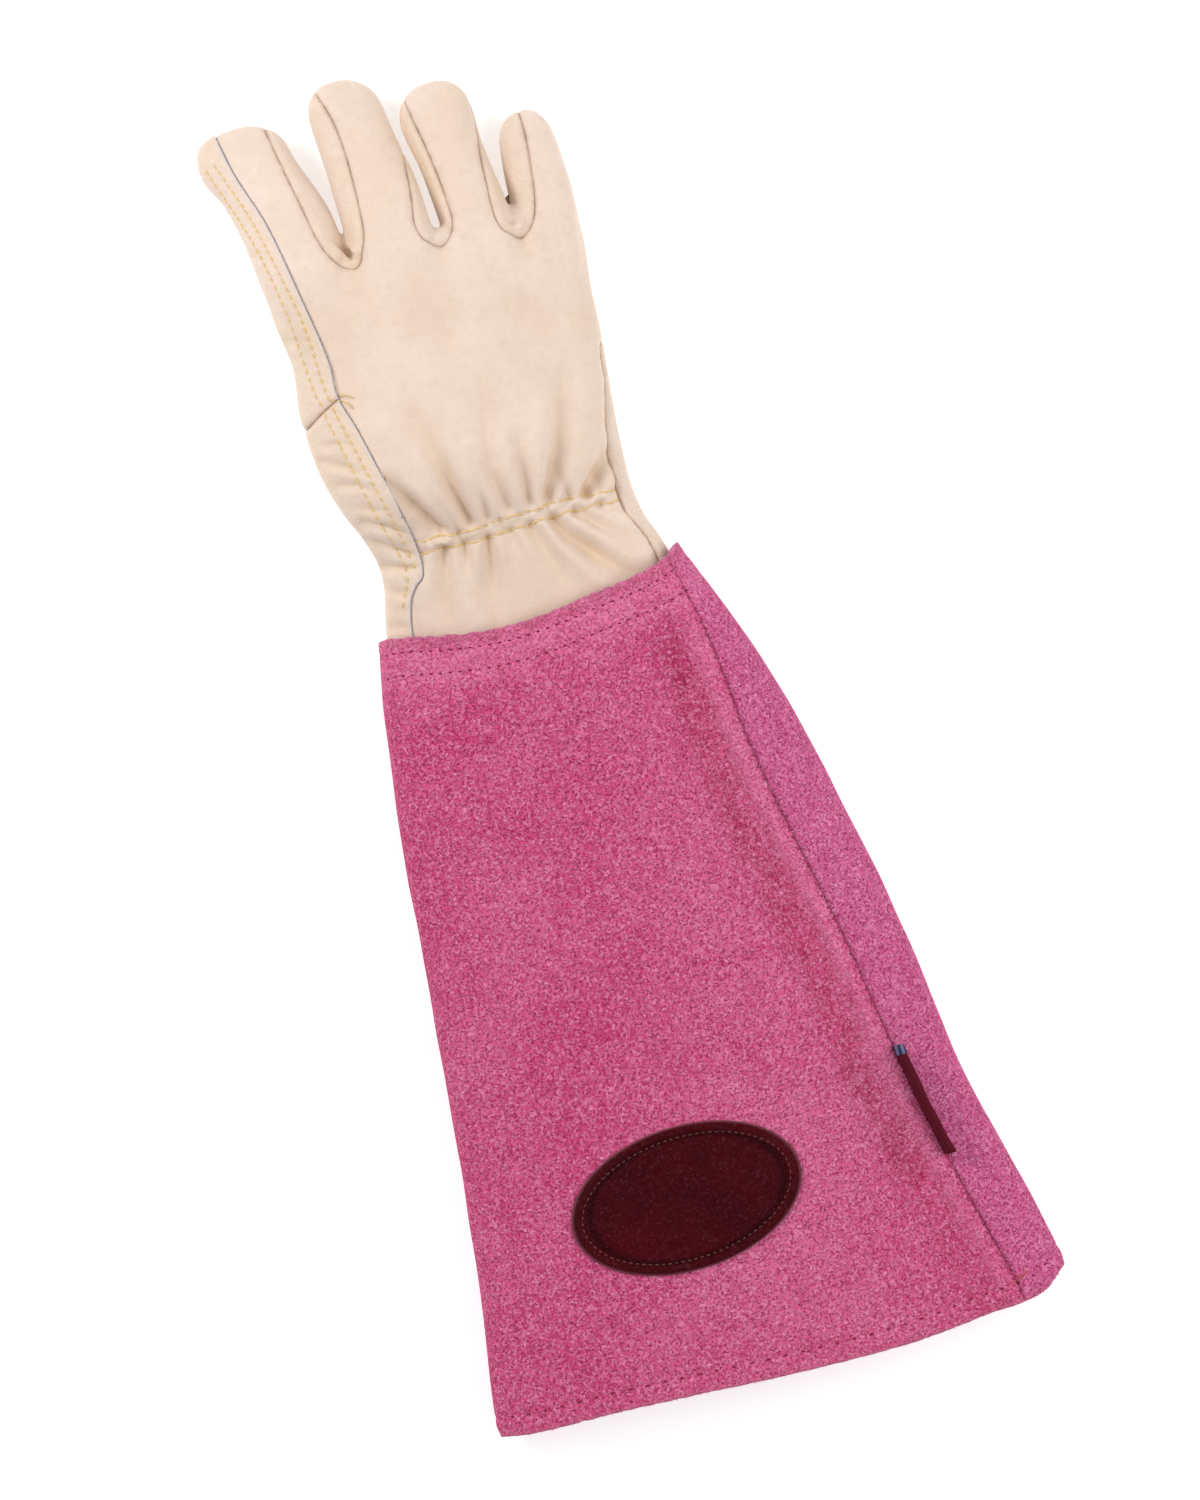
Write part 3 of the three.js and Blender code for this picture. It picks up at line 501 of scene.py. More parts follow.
def write_masks(obj, masks):
    """Stores masks from 0 to 1 on a mesh's points, where its material reads them."""
    for name, values in masks.items():
        attribute = obj.data.attributes.new(name, "FLOAT", "POINT")
        attribute.data.foreach_set("value", np.clip(values, 0, 1).astype(np.float32).ravel())


def outward(obj):
    """Turns every face of a closed mesh outwards."""
    work = bmesh.new()
    work.from_mesh(obj.data)
    bmesh.ops.recalc_face_normals(work, faces=work.faces)
    work.to_mesh(obj.data)
    work.free()


def ring_faces(rings, sides, closed=True):
    """Quads between rings of equal length, numbered one ring after the other."""
    faces = []
    for r in range(rings - 1):
        for s in range(sides if closed else sides - 1):
            a, b = r * sides + s, r * sides + (s + 1) % sides
            faces.append((a, b, b + sides, a + sides))
    return faces


def oval_loft(stations, sides, boxy, place):
    """Points and faces of a closed skin through oval rings, each in the plane of one y."""
    angle = 2 * np.pi * (np.arange(sides) + 0.5) / sides
    across = signed_power(np.cos(angle), 2 / boxy)
    up = signed_power(np.sin(angle), 2 / boxy)
    points = []
    for y in stations:
        x, z = place(y, across, up)
        points.extend(zip(x, np.full(sides, y), z))
    faces = ring_faces(len(stations), sides)
    last = (len(stations) - 1) * sides
    faces.append(tuple(range(sides)))
    faces.append(tuple(range(last + sides - 1, last - 1, -1)))
    return points, faces


def cap_share(y, tip, cap):
    """Width at y of a shape with a rounded tip, as a share of its full width."""
    share = np.clip((y - tip + cap) / cap, 0, 1)
    return (1 - share ** TIP_ROUND) ** (1 / TIP_ROUND)


def hand_loft():
    """The hand from the wrist to the gaps between the fingers."""
    ends = WEB_END - WEB_ROUND * (1 - np.array([0.2, 0.4, 0.58, 0.72, 0.84, 0.92]))
    straight = np.arange(WRIST_END, WEB_END - WEB_ROUND + 0.1, 3.0)

    def place(y, across, up):
        rounding = math.sqrt(1 - min(1, max(0, (y - WEB_END + WEB_ROUND) / WEB_ROUND)) ** 2)
        left, right = HAND("left", y), HAND("right", y)
        x = (left + right) / 2 + ((right - left) / 2 - 3 * (1 - rounding)) * across
        return x, middle_height(x, y) + HAND("half", y) * rounding * up

    return oval_loft(np.concatenate([straight, ends]), sides=96, boxy=2.5, place=place)


def finger_loft(tip, table):
    """One finger, growing out of the hand."""
    straight = np.arange(FINGER_ROOT, tip - FINGER_CAP, 3.0)
    ends = tip - FINGER_CAP * (1 - TIP_RINGS)

    def place(y, across, up):
        emerging = 0.78 + 0.22 * float(smoothstep(y, FINGER_ROOT, FINGER_FULL))
        rounding = cap_share(y, tip, FINGER_CAP) * emerging
        centre = float(table("x", y))
        x = centre + table("wide", y) * rounding * across
        return x, middle_height(centre, y) + table("half", y) * rounding * up

    return oval_loft(np.concatenate([straight, ends]), sides=48, boxy=2.3, place=place)


def thumb_loft():
    """The thumb, lying along the underside of the palm."""
    straight = np.arange(THUMB_ROOT, THUMB_TIP - THUMB_CAP, 2.5)
    ends = THUMB_TIP - THUMB_CAP * (1 - TIP_RINGS)

    def place(y, across, up):
        rounding = cap_share(y, THUMB_TIP, THUMB_CAP)
        x = THUMB("x", y) + THUMB("wide", y) * rounding * across
        return x, THUMB("z", y) + THUMB("half", y) * rounding * up

    return oval_loft(np.concatenate([straight, ends]), sides=56, boxy=2.4, place=place)


class Skin:
    """A closed skin of quads as arrays: points in millimetres, faces and vertex normals."""

    def __init__(self, lofts, grid, smoothing):
        points, faces = [], []
        for loft_points, loft_faces in lofts:
            start = len(points)
            points.extend(loft_points)
            faces.extend(tuple(start + i for i in face) for face in loft_faces)
        rough = mesh_object("rough", placed(points), faces)
        remesh = rough.modifiers.new("grid", "REMESH")
        remesh.mode = "VOXEL"
        remesh.voxel_size = grid
        relax = rough.modifiers.new("relax", "SMOOTH")
        relax.factor = 0.5
        relax.iterations = smoothing
        even = rough.evaluated_get(bpy.context.evaluated_depsgraph_get()).to_mesh()
        count = len(even.vertices)
        flat = np.empty(count * 3)
        even.vertices.foreach_get("co", flat)
        self.points = unplaced(flat.reshape(-1, 3))
        normals = np.empty(count * 3, np.float32)
        even.vertex_normals.foreach_get("vector", normals)
        self.normals = normals.reshape(-1, 3).astype(float)
        corners = np.empty(len(even.loops), int)
        even.loops.foreach_get("vertex_index", corners)
        self.faces = corners.reshape(-1, 4)
        rough.to_mesh_clear()
        bpy.data.objects.remove(rough)

    def centres(self):
        """The middle of each face."""
        return self.points[self.faces].mean(axis=1)

    def spread(self, values):
        """The sum, at each vertex, of one value per face round it."""
        return np.column_stack([
            sum(np.bincount(self.faces[:, k], column, len(self.points)) for k in range(4))
            for column in values.T
        ])

    def refresh_normals(self, rounds=5):
        """Vertex normals worked out again from the moved points, and smoothed over their neighbours."""
        corner = self.points[self.faces]
        total = self.spread(np.cross(corner[:, 2] - corner[:, 0], corner[:, 3] - corner[:, 1]))
        for _ in range(rounds):
            self.normals = total / np.maximum(np.linalg.norm(total, axis=1, keepdims=True), 1e-9)
            total = self.spread(self.normals[self.faces].sum(axis=1))


# Relief of the leather

def fold_relief(folds, x, y):
    """Height of some folds at places seen from above: valleys with a soft lip on both sides."""
    height = np.zeros(x.shape)
    for fold in folds:
        nearest_way = np.full(x.shape, FAR)
        depth, width = np.zeros(x.shape), np.ones(x.shape)
        for (x0, y0, depth0, width0), (x1, y1, depth1, width1) in zip(fold, fold[1:]):
            reach = (x1 - x0) ** 2 + (y1 - y0) ** 2
            share = np.clip(((x - x0) * (x1 - x0) + (y - y0) * (y1 - y0)) / reach, 0, 1)
            away = np.hypot(x - x0 - share * (x1 - x0), y - y0 - share * (y1 - y0))
            closer = away < nearest_way
            nearest_way = np.where(closer, away, nearest_way)
            depth = np.where(closer, depth0 + (depth1 - depth0) * share, depth)
            width = np.where(closer, width0 + (width1 - width0) * share, width)
        hollow = 0.7 * bell(nearest_way, np.maximum(width, 1.3))
        crease = 0.3 * np.exp(-nearest_way / np.maximum(0.5 * width, 1.2))
        lip = 0.34 * bell(nearest_way - 2.0 * width, width)
        height -= depth * (hollow + crease - lip)
    return height


def web_relief(x, y):
    """Small tucks where the leather is gathered at the bottom of each gap between fingers."""
    return sum(
        tuck["height"] * bell(np.hypot(x - tuck["x"], y - tuck["y"]), tuck["size"])
        for tuck in WEB_TUCKS
    )


def elastic_row(name, x):
    """The y of a row of elastic stitches, pulled wavy by the gathers."""
    x = np.asarray(x, float)
    seed = 2.0 if name == "elastic_upper" else 6.0
    return np.interp(x, *np.array(ELASTIC_ROWS[name]).T) + 0.75 * wander(x, np.zeros(x.shape), 4.6, seed)


def elastic_relief(x, y):
    """Small puckers that the wrist elastic pulls, round ridges with sharp valleys between them."""
    upper, lower = (elastic_row(name, x) for name in ELASTIC_ROWS)
    ends = smoothstep(x, -31, -27) * (1 - smoothstep(x, 37, 40))
    drift = wander(x, y * 0.35, 13.0, 3.1)
    coarse = np.abs(np.sin(np.pi * (x + 3.4 * drift) / COARSE_PUCKERS))
    fine = np.abs(np.sin(np.pi * (x + 1.6 * drift) / FINE_PUCKERS))
    above = np.exp(-np.maximum(y - upper, 0) / 7.0)
    below = np.exp(-np.maximum(lower - y, 0) / 8.0)
    inner = bell(y - (upper + lower) / 2, 3.6)
    row_dent = bell(y - upper, 0.8) + bell(y - lower, 0.8)
    gathers = 0.65 * above * below * (coarse - 0.7)
    puckers = 0.4 * inner * (fine - 0.6)
    return ends * (gathers + puckers - 0.35 * row_dent)


def leather_unevenness(x, y, z):
    """Slow lumps and small wrinkles that soft leather has all over."""
    return sum(
        lump["height"] * wander(x + lump["lean"] * z, y * lump["squeeze"], lump["size"], lump["seed"])
        for lump in LEATHER_LUMPS
    )


PANELS = ["hand_back", "hand_palm", "finger_front", "fourchette_index_middle", "fourchette_middle_ring",
          "fourchette_ring_little", "index_side_strip", "wrist_side_strip"]
BACK, PALM, FRONT, FIRST_FOURCHETTE, INDEX_STRIP, WRIST_STRIP = 0, 1, 2, 3, 6, 7
STRIPS = (INDEX_STRIP, WRIST_STRIP)


def panel_of(points):
    """Number of the panel that each place of the skin belongs to."""
    x, y, z = points.T
    curves = {name: seam_curve(seam) for name, seam in SEAMS.items()}
    above = z > middle_height(x, y) - SEAM_DROP
    back = np.vstack([curves["lap"], curves["index_middle"], curves["middle_ring"], curves["ring_little"],
                      [(62, 182)], curves["ulnar"]])
    side = np.vstack([curves["ulnar"], [(75, -30), (75, 78)]])
    number = np.where(inside(curves["palm"], x, y), FRONT, PALM)
    cross = np.interp(x, *curves["cross"].T)
    upper = np.where(y > cross, INDEX_STRIP, WRIST_STRIP)
    for i, name in enumerate(["index_middle", "middle_ring", "ring_little"]):
        upper = np.where(inside(curves[name], x, y), FIRST_FOURCHETTE + i, upper)
    upper = np.where(inside(side, x, y), PALM, upper)
    upper = np.where(inside(back, x, y), BACK, upper)
    return np.where(above, upper, number)


class Seamed:
    """The hand's skin cut into panels, with each vertex's distance to the seams."""

    def __init__(self, skin):
        self.skin = skin
        self.panel = panel_of(skin.centres())
        for _ in range(3):
            self.settle_edges()
            self.even_edges()
        self.settle_edges()
        self.relax_beside()
        self.measure()

    def shared(self):
        """Lowest and highest panel number round each vertex."""
        count = len(self.skin.points)
        low, high = np.full(count, 99), np.full(count, -1)
        for k in range(4):
            np.minimum.at(low, self.skin.faces[:, k], self.panel)
            np.maximum.at(high, self.skin.faces[:, k], self.panel)
        return low, high

    def settle_edges(self):
        """Moves the vertices between two panels onto the seam, so that its line runs smoothly."""
        low, high = self.shared()
        points, normals = self.skin.points, self.skin.normals
        edge = np.flatnonzero(low != high)
        level = middle_height(points[edge, 0], points[edge, 1]) - SEAM_DROP
        line = np.vstack([seam_curve(seam, 0.15) for seam in SEAMS.values()])
        tree = KDTree(len(line))
        for i, (x, y) in enumerate(line):
            tree.insert((x, y, 0), i)
        tree.balance()
        for vertex, height in zip(edge, level):
            x, y, z = points[vertex]
            spot, _, away = tree.find((x, y, 0))
            on_front = high[vertex] == FRONT and low[vertex] == PALM
            if away < SEAM_REACH and (z > height + 0.5 or on_front):
                move = np.array([spot.x - x, spot.y - y, 0.0])
            elif abs(z - height) < SEAM_REACH:
                move = np.array([0.0, 0.0, height - z])
            else:
                continue
            points[vertex] += move - normals[vertex] * (move @ normals[vertex])

    def even_edges(self):
        """Spaces the vertices evenly along each seam."""
        skin = self.skin
        count = len(skin.points)
        starts, ends = skin.faces.ravel(), np.roll(skin.faces, -1, axis=1).ravel()
        panel = np.repeat(self.panel, 4)
        ways = starts * count + ends
        order = np.argsort(ways)
        twin = order[np.searchsorted(ways[order], ends * count + starts) % len(order)]
        sewn = panel != panel[twin]
        a, b = starts[sewn], ends[sewn]
        beside = np.bincount(a, minlength=count)
        middle = np.column_stack([np.bincount(a, skin.points[b, k], count) for k in range(3)])
        even = beside == 2
        skin.points[even] += 0.5 * (middle[even] / 2 - skin.points[even])

    def relax_beside(self):
        """Evens out the vertices beside the seams, so that no face folds over."""
        skin = self.skin
        low, high = self.shared()
        edge = low != high
        near = edge.copy()
        for _ in range(3):
            near[skin.faces[near[skin.faces].any(axis=1)]] = True
        free = near & ~edge
        faces_round = skin.spread(np.ones((len(skin.faces), 1)))
        for _ in range(6):
            move = 0.6 * (skin.spread(skin.centres()) / faces_round - skin.points)
            move -= skin.normals * (move * skin.normals).sum(axis=1, keepdims=True)
            skin.points[free] += move[free]

    def measure(self):
        """Finds each vertex's panel and its distance to the seams of each kind."""
        low, high = self.shared()
        points = self.skin.points
        edge = low != high
        lap = edge & (low == BACK) & np.isin(high, STRIPS)
        cross = edge & (low == INDEX_STRIP) & (high == WRIST_STRIP)
        front = edge & (low == PALM) & (high == FRONT)
        self.to_seam = nearest(points, points[edge & ~lap & ~front])
        self.to_lap = nearest(points, points[lap])
        self.to_front = nearest(points, points[front])
        self.to_cross = nearest(points, points[cross])
        self.vertex_panel = np.zeros(len(points), int)
        for k in range(4):
            self.vertex_panel[self.skin.faces[:, k]] = self.panel


def seam_groove(away, depth):
    """A turned seam: a narrow groove between two rounded edges."""
    return depth * (-1.0 * np.exp(-away / 0.5) - 0.45 * bell(away, 3.4) + 0.4 * bell(away - 2.2, 1.3))


def move_skin(skin, relief):
    """Raises or sinks a skin's points along their normals, and keeps them above the ground."""
    skin.points += skin.normals * relief[:, None]
    skin.points[:, 2] = np.maximum(skin.points[:, 2], LEAST_HEIGHT)
    skin.refresh_normals()


def shape_hand(seamed, sizes):
    """Moves the skin's points for folds, gathers and seams that the panels share, and gives the masks of
    the raised palm seam and of the painted shade in the valleys.
    """
    skin = seamed.skin
    x, y, z = skin.points.T
    upper = smoothstep(skin.normals[:, 2], 0.05, 0.55)
    strip = np.isin(seamed.vertex_panel, STRIPS)
    back_folds = sizes.fold_strength * fold_relief(FOLDS, x, y)
    folds = np.where(strip, fold_relief(STRIP_CREASES, x, y), back_folds)
    gathers = elastic_relief(x, y) * np.where(strip, 0.3, 1)
    creases = smoothstep(-skin.normals[:, 2], 0.05, 0.55) * fold_relief(PALM_CREASES, x, y)
    # Painted shade: how deep each place lies in a valley of the folds, gathers and palm creases.
    folded = -upper * (folds / np.where(strip, 1.2, 2.2) + gathers) - creases / 1.5
    relief = upper * (folds + gathers) + creases
    relief += smoothstep(skin.normals[:, 2], -0.1, 0.3) * web_relief(x, y)
    relief += leather_unevenness(x, y, z) * (0.35 + 0.65 * smoothstep(y, 112, 90))
    pucker = 1 + 0.6 * wander(x, y, 2.4, 9.3)
    facing = 0.4 + 0.6 * smoothstep(skin.normals[:, 2], 0.1, 0.6)
    relief += seam_groove(seamed.to_seam, sizes.groove_depth / MM) * pucker * facing
    raised = smoothstep(seamed.to_front, 0.2, 0.9) * (1 - smoothstep(seamed.to_front, 1.2, 2.2))
    palm_ridge = np.isin(seamed.vertex_panel, (PALM, FRONT)) * raised * 1.6
    relief += palm_ridge - 0.5 * np.exp(-seamed.to_cross / 0.5)
    move_skin(skin, relief)
    return np.clip(palm_ridge, 0, 1), np.clip(folded, 0, 1)


def lapped(seamed, number, sizes):
    """The skin's points as one panel has them: the strips lie on the back, which sinks below them."""
    skin = seamed.skin
    away = seamed.to_lap
    if number in STRIPS:
        lift = 0.7 * sizes.leather_wall / MM * (1 - smoothstep(away, 6.0, 12.0))
        lift += 0.12 * wander(skin.points[:, 0], skin.points[:, 1], 3.0, 7.7) * (away < 3)
    elif number == BACK:
        lift = -0.15 * np.exp(-away / 0.7)
    else:
        return skin.points
    points = skin.points + skin.normals * lift[:, None]
    points[:, 2] = np.maximum(points[:, 2], LEAST_HEIGHT)
    return points


def cut_panel(points, normals, faces, name, masks, wall):
    """One panel as a closed sheet: its outer face, its inner face and the cut edge between them."""
    used, renumbered = np.unique(faces, return_inverse=True)
    outer = renumbered.reshape(-1, 4)
    count = len(used)
    starts, ends = outer.ravel(), np.roll(outer, -1, axis=1).ravel()
    cut = ~np.isin(starts * count + ends, ends * count + starts)
    a, b = starts[cut], ends[cut]
    rim = np.column_stack([b, a, a + count, b + count])
    sheet = points[used]
    lining = sheet - normals[used] * wall / MM
    sides = np.vstack([outer, outer[:, ::-1] + count, rim])
    obj = mesh_object(name, placed(np.vstack([sheet, lining])), sides)
    write_masks(obj, {mask: np.tile(values[used], 2) for mask, values in masks.items()})
    return obj


def thicken(obj, wall, offset=-1):
    """Gives a sheet its wall: on its inner side, or half on each side with an offset of 0."""
    solid = obj.modifiers.new("wall", "SOLIDIFY")
    solid.thickness = wall
    solid.offset = offset
    solid.use_even_offset = False


def made_plain(obj):
    """Turns an object's live modifiers into its own mesh."""
    depsgraph = bpy.context.evaluated_depsgraph_get()
    mesh = bpy.data.meshes.new_from_object(obj.evaluated_get(depsgraph))
    obj.modifiers.clear()
    obj.data = mesh
    return obj


def finish_piece(obj, material, nodes=()):
    """Gives a piece its material, hangs it on the root body, and hides the model's parts that it stands in
    for.
    """
    if material is not None:
        obj.data.materials.clear()
        obj.data.materials.append(material)
    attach(obj, "root")
    if nodes:
        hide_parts(*nodes)


# The cuff's surface

def cuff_sides(down):
    """x of the cuff's left and right folds."""
    return CUFF("left", down), CUFF("right", down)


def cuff_ends(across):
    """y of the cuff's upper edge and of its hem."""
    return CUFF_EDGES("top", across), CUFF_EDGES("hem", across)


def crown_height(across, down):
    """Height of the cuff's upper side, with the valley beside the seam."""
    side = np.clip(np.abs(2 * across - 1), 0, 1)
    high = CUFF("high", down)
    arch = (1 - side ** CUFF_UPPER_ROUND) ** (1 / CUFF_UPPER_ROUND)
    left, right = cuff_sides(down)
    from_valley = (across - CUFF("seam", down)) * (right - left) + CUFF_VALLEY_BESIDE
    fade = smoothstep(down, 0.02, 0.16) * (1 - 0.45 * smoothstep(down, 0.75, 1))
    valley = CUFF_VALLEY_DEPTH * fade * bell(from_valley, CUFF_VALLEY_SPREAD)
    return high * CUFF_MIDDLE + high * (1 - CUFF_MIDDLE) * arch - valley * arch


def cuff_plan(across, down):
    """x and y of a place on the cuff, from its shares across and down."""
    left, right = cuff_sides(down)
    top, hem = cuff_ends(across)
    return left + (right - left) * across, top + (hem - top) * down


def cuff_shares(x, y):
    """Shares across and down of a place on the cuff seen from above."""
    across, down = np.full(np.shape(x), 0.5), np.full(np.shape(x), 0.5)
    for _ in range(14):
        left, right = cuff_sides(down)
        across = np.clip((x - left) / (right - left), 0, 1)
        top, hem = cuff_ends(across)
        down = np.clip((y - top) / (hem - top), 0, 1)
    return across, down


def seam_x(down):
    """x of the cuff's seam at a share down its length."""
    left, right = cuff_sides(down)
    return left + (right - left) * CUFF("seam", down)


def seam_x_at(y):
    """x of the cuff's seam at a y."""
    x = 70.0
    for _ in range(8):
        _, down = cuff_shares(np.array(x), np.array(y))
        x = float(seam_x(down))
    return x


def oval(halves, angle):
    """Places on an oval about the patch's centre."""
    return np.column_stack([
        PATCH_CENTRE[0] + halves[0] * np.cos(angle),
        PATCH_CENTRE[1] + halves[1] * np.sin(angle),
    ])


def cuff_relief(x, y, across, down, upper, to_seam):
    """Swells, dents and sewn lines of the suede, as height along its normal."""
    slow = wander(x, y, 42.0, 2.2) * 0.9 + wander(x, y, 17.0, 6.6) * 0.3
    top, hem = cuff_ends(across)
    from_top, from_hem = y - top, y - hem
    sewn_top = -0.35 * sum(bell(from_top + row, SEWN_WIDTH) for row in CUFF_TOP_ROWS)
    sewn_hem = -0.30 * bell(from_hem - CUFF_HEM_ROW, SEWN_WIDTH) + 0.35 * bell(from_hem - 3.2, 2.4)
    top_waves = 0.5 * wander(x, y * 0.3, 8.0, 4.4) * np.exp(from_top / 14.0)
    pucker = 1 + 0.5 * wander(x, y, 4.5, 8.8)
    beyond = across > CUFF("seam", down)
    ridge = np.where(beyond, 0.35 * bell(to_seam - 2.0, 1.6), 1.25 * bell(to_seam - 3.6, 2.8))
    groove = -0.25 * np.exp(-to_seam / 0.45) + ridge * pucker
    relief = slow * np.clip(from_hem / 30, 0.4, 1) + sewn_hem + upper * (sewn_top + top_waves)
    return relief + groove * upper


def ragged_edges(x, across, down):
    """How far the cut top edge and hem stray from their smooth lines."""
    stray = 0.55 * wander(x, across * 40, 3.1, 1.9) + 0.3 * wander(x, across * 40, 1.1, 3.3)
    return stray * (np.exp(-down / 0.01) + 0.35 * np.exp((down - 1) / 0.01))


def cuff_rings():
    """Smooth rings from the seam over the crown, round the left fold, under and up again.

    Each place has its x, y and z, 1 where it is on the upper side, and its shares across and down.
    """
    downs = np.concatenate([
        np.linspace(0, 0.06, 18),
        np.linspace(0.065, 0.94, 150),
        np.linspace(0.945, 1, 16),
    ])
    rings = []
    for down in downs:
        start = math.acos(signed_power(2 * CUFF("seam", down) - 1, CUFF_UPPER_ROUND / 2))
        sweep = np.concatenate([
            np.linspace(start, math.pi, CROWN_STEPS, endpoint=False),
            np.linspace(math.pi, 2 * math.pi, UNDER_STEPS, endpoint=False),
            np.linspace(2 * math.pi, 2 * math.pi + start - CUFF_OPEN_SEAM, RISING_STEPS),
        ])
        upper = np.sin(sweep) > 1e-9
        boxy = np.where(upper, CUFF_UPPER_ROUND, CUFF_LOWER_ROUND)
        across = 0.5 + 0.5 * signed_power(np.cos(sweep), 2 / boxy)
        x, y = cuff_plan(across, down)
        middle = CUFF("high", down) * CUFF_MIDDLE
        droop = (middle + LIE_FLAT) * np.abs(np.sin(sweep)) ** (2 / boxy)
        z = np.where(upper, crown_height(across, down), np.maximum(middle - droop, 0.0))
        rings.append(np.column_stack([x, y, z, upper, across, np.full(len(sweep), down)]))
    return np.array(rings)


def cuff_masks(x, y, across, down, upper, to_seam):
    """Where the suede has painted shade along the seam, cut edges, a pale band at the top and painted
    highlight on the ridge beside the seam, painted shade in the valley beside it, or the narrow side
    beyond the seam.
    """
    top, hem = cuff_ends(across)
    from_top, from_hem = top - y, y - hem
    left_of_seam = seam_x(down) - x
    patchy = 0.65 + 0.5 * wander(x, y, 9.0, 5.9) + 0.6 * wander(x, y, 3.4, 2.7)
    along = smoothstep(down, 0.03, 0.12) * (1 - 0.6 * smoothstep(down, 0.7, 0.95))
    top_band = 1.3 - 1.1 * smoothstep(from_top, 13.0, 18.5) - 0.2 * smoothstep(from_top, 18.0, 30.0)
    return {
        "strip": (across > CUFF("seam", down)) | (upper < 0.5),
        "edge": np.maximum(1 - smoothstep(from_top, 0.2, 1.4), 1 - smoothstep(from_hem, 0.2, 1.2)),
        # Painted shade along the seam.
        "seam": upper * bell(to_seam, 0.45),
        # A pale band along the top, and painted highlight on the lit ridge beside the seam.
        "pale": upper * patchy * (top_band + 1.8 * along * bell(left_of_seam - 4.4, 2.8)),
        # Painted shade in the valley beside the seam.
        "deep": upper * patchy * along * bell(left_of_seam - 13.0, 5.0),
    }


def cuff_mesh():
    """The suede sheet with its relief, its ragged edges and its masks."""
    rings = cuff_rings()
    grid = rings[..., :3]
    upper, across, down = rings[..., 3], rings[..., 4], rings[..., 5]
    normal = np.cross(np.gradient(grid, axis=1), np.gradient(grid, axis=0))
    normal /= np.maximum(np.linalg.norm(normal, axis=2, keepdims=True), 1e-9)
    if normal[len(grid) // 2, CROWN_STEPS // 3, 2] < 0:
        normal = -normal
    grid[..., 1] += ragged_edges(grid[..., 0], across, down)
    x, y = grid[..., 0], grid[..., 1]
    to_seam = np.abs(x - seam_x(down)) + 100 * (1 - upper)
    relief = cuff_relief(x, y, across, down, upper, to_seam)
    resting = (1 - upper) * smoothstep(normal[..., 2], -0.5, -0.9)
    sheet = grid + normal * (relief * (1 - 0.95 * resting))[..., None]
    sheet[..., 2] = np.maximum(sheet[..., 2], 0.01)
    faces = ring_faces(*sheet.shape[:2], closed=False)
    obj = mesh_object("cuff_suede", placed(sheet.reshape(-1, 3)), faces)
    write_masks(obj, cuff_masks(x, y, across, down, upper, to_seam))
    return obj


# Sewing

class Ground:
    """The upper surface of some pieces, to lay stitches on."""

    def __init__(self, objects):
        points, faces = [], []
        for obj in objects:
            start = len(points)
            points.extend(v.co.copy() for v in obj.data.vertices)
            faces.extend([start + i for i in p.vertices] for p in obj.data.polygons)
        self.tree = BVHTree.FromPolygons(points, faces)

    def below(self, x, y):
        """The place and normal on the surface under a place seen from above, in metres."""
        origin = Vector(placed((x, y, ABOVE_ALL)))
        spot, normal, _, _ = self.tree.ray_cast(origin, Vector((0, 0, -1)))
        if spot is None:
            raise RuntimeError(f"no surface under {x:.1f}, {y:.1f}")
        return spot, normal

    def height(self, x, y):
        """Height of the surface at a place seen from above, in millimetres."""
        return unplaced(self.below(x, y)[0])[2]


def path_object(name, ground, plan, lift, closed=False):
    """A line of edges that lies on the surface, with the surface's normal on its points."""
    spots = [ground.below(x, y) for x, y in plan]
    points = [spot + normal * lift for spot, normal in spots]
    mesh = bpy.data.meshes.new(name)
    edges = [(i, i + 1) for i in range(len(points) - 1)]
    if closed:
        edges.append((len(points) - 1, 0))
    mesh.from_pydata(points, edges, [])
    up = mesh.attributes.new("up", "FLOAT_VECTOR", "POINT")
    up.data.foreach_set("vector", np.array([n for _, n in spots], np.float32).ravel())
    obj = bpy.data.objects.new(name, mesh)
    bpy.context.scene.collection.objects.link(obj)
    return obj


# Node trees

class Nodes:
    """Adds nodes to a tree, setting or linking their inputs in one call."""

    def __init__(self, tree):
        self.tree = tree

    def add(self, kind, inputs=None, **settings):
        """A new node with its settings made first; an input is a value or another node's output."""
        node = self.tree.nodes.new(kind)
        for name, value in settings.items():
            setattr(node, name, value)
        for key, value in (inputs or {}).items():
            if isinstance(value, bpy.types.NodeSocket):
                self.tree.links.new(value, node.inputs[key])
            else:
                node.inputs[key].default_value = value
        return node


SOCKET_KINDS = {float: "NodeSocketFloat", int: "NodeSocketInt"}


def node_group(name, kind, inputs, outputs, build):
    """A node group built once; build(nodes, inputs) returns the sockets that go out, by name.

    An input is given by its default value or, where it has none, by its kind of socket.
    """
    if name in bpy.data.node_groups:
        return bpy.data.node_groups[name]
    tree = bpy.data.node_groups.new(name, kind)
    for label, value in inputs.items():
        has_default = not isinstance(value, str)
        socket_kind = SOCKET_KINDS[type(value)] if has_default else value
        socket = tree.interface.new_socket(label, in_out="INPUT", socket_type=socket_kind)
        if has_default:
            socket.default_value = value
    for label, socket_kind in outputs.items():
        tree.interface.new_socket(label, in_out="OUTPUT", socket_type=socket_kind)
    n = Nodes(tree)
    n.add("NodeGroupOutput", build(n, n.add("NodeGroupInput").outputs))
    return tree


def math_node(n, operation, *values):
    """One step of arithmetic on values or masks."""
    return n.add("ShaderNodeMath", dict(enumerate(values)), operation=operation).outputs[0]


def scaled(n, value, amount):
    """A value or mask times a number."""
    return math_node(n, "MULTIPLY", value, amount)


def inverted(n, value):
    """One minus a mask."""
    return math_node(n, "SUBTRACT", 1.0, value)


# Stitches and fibres

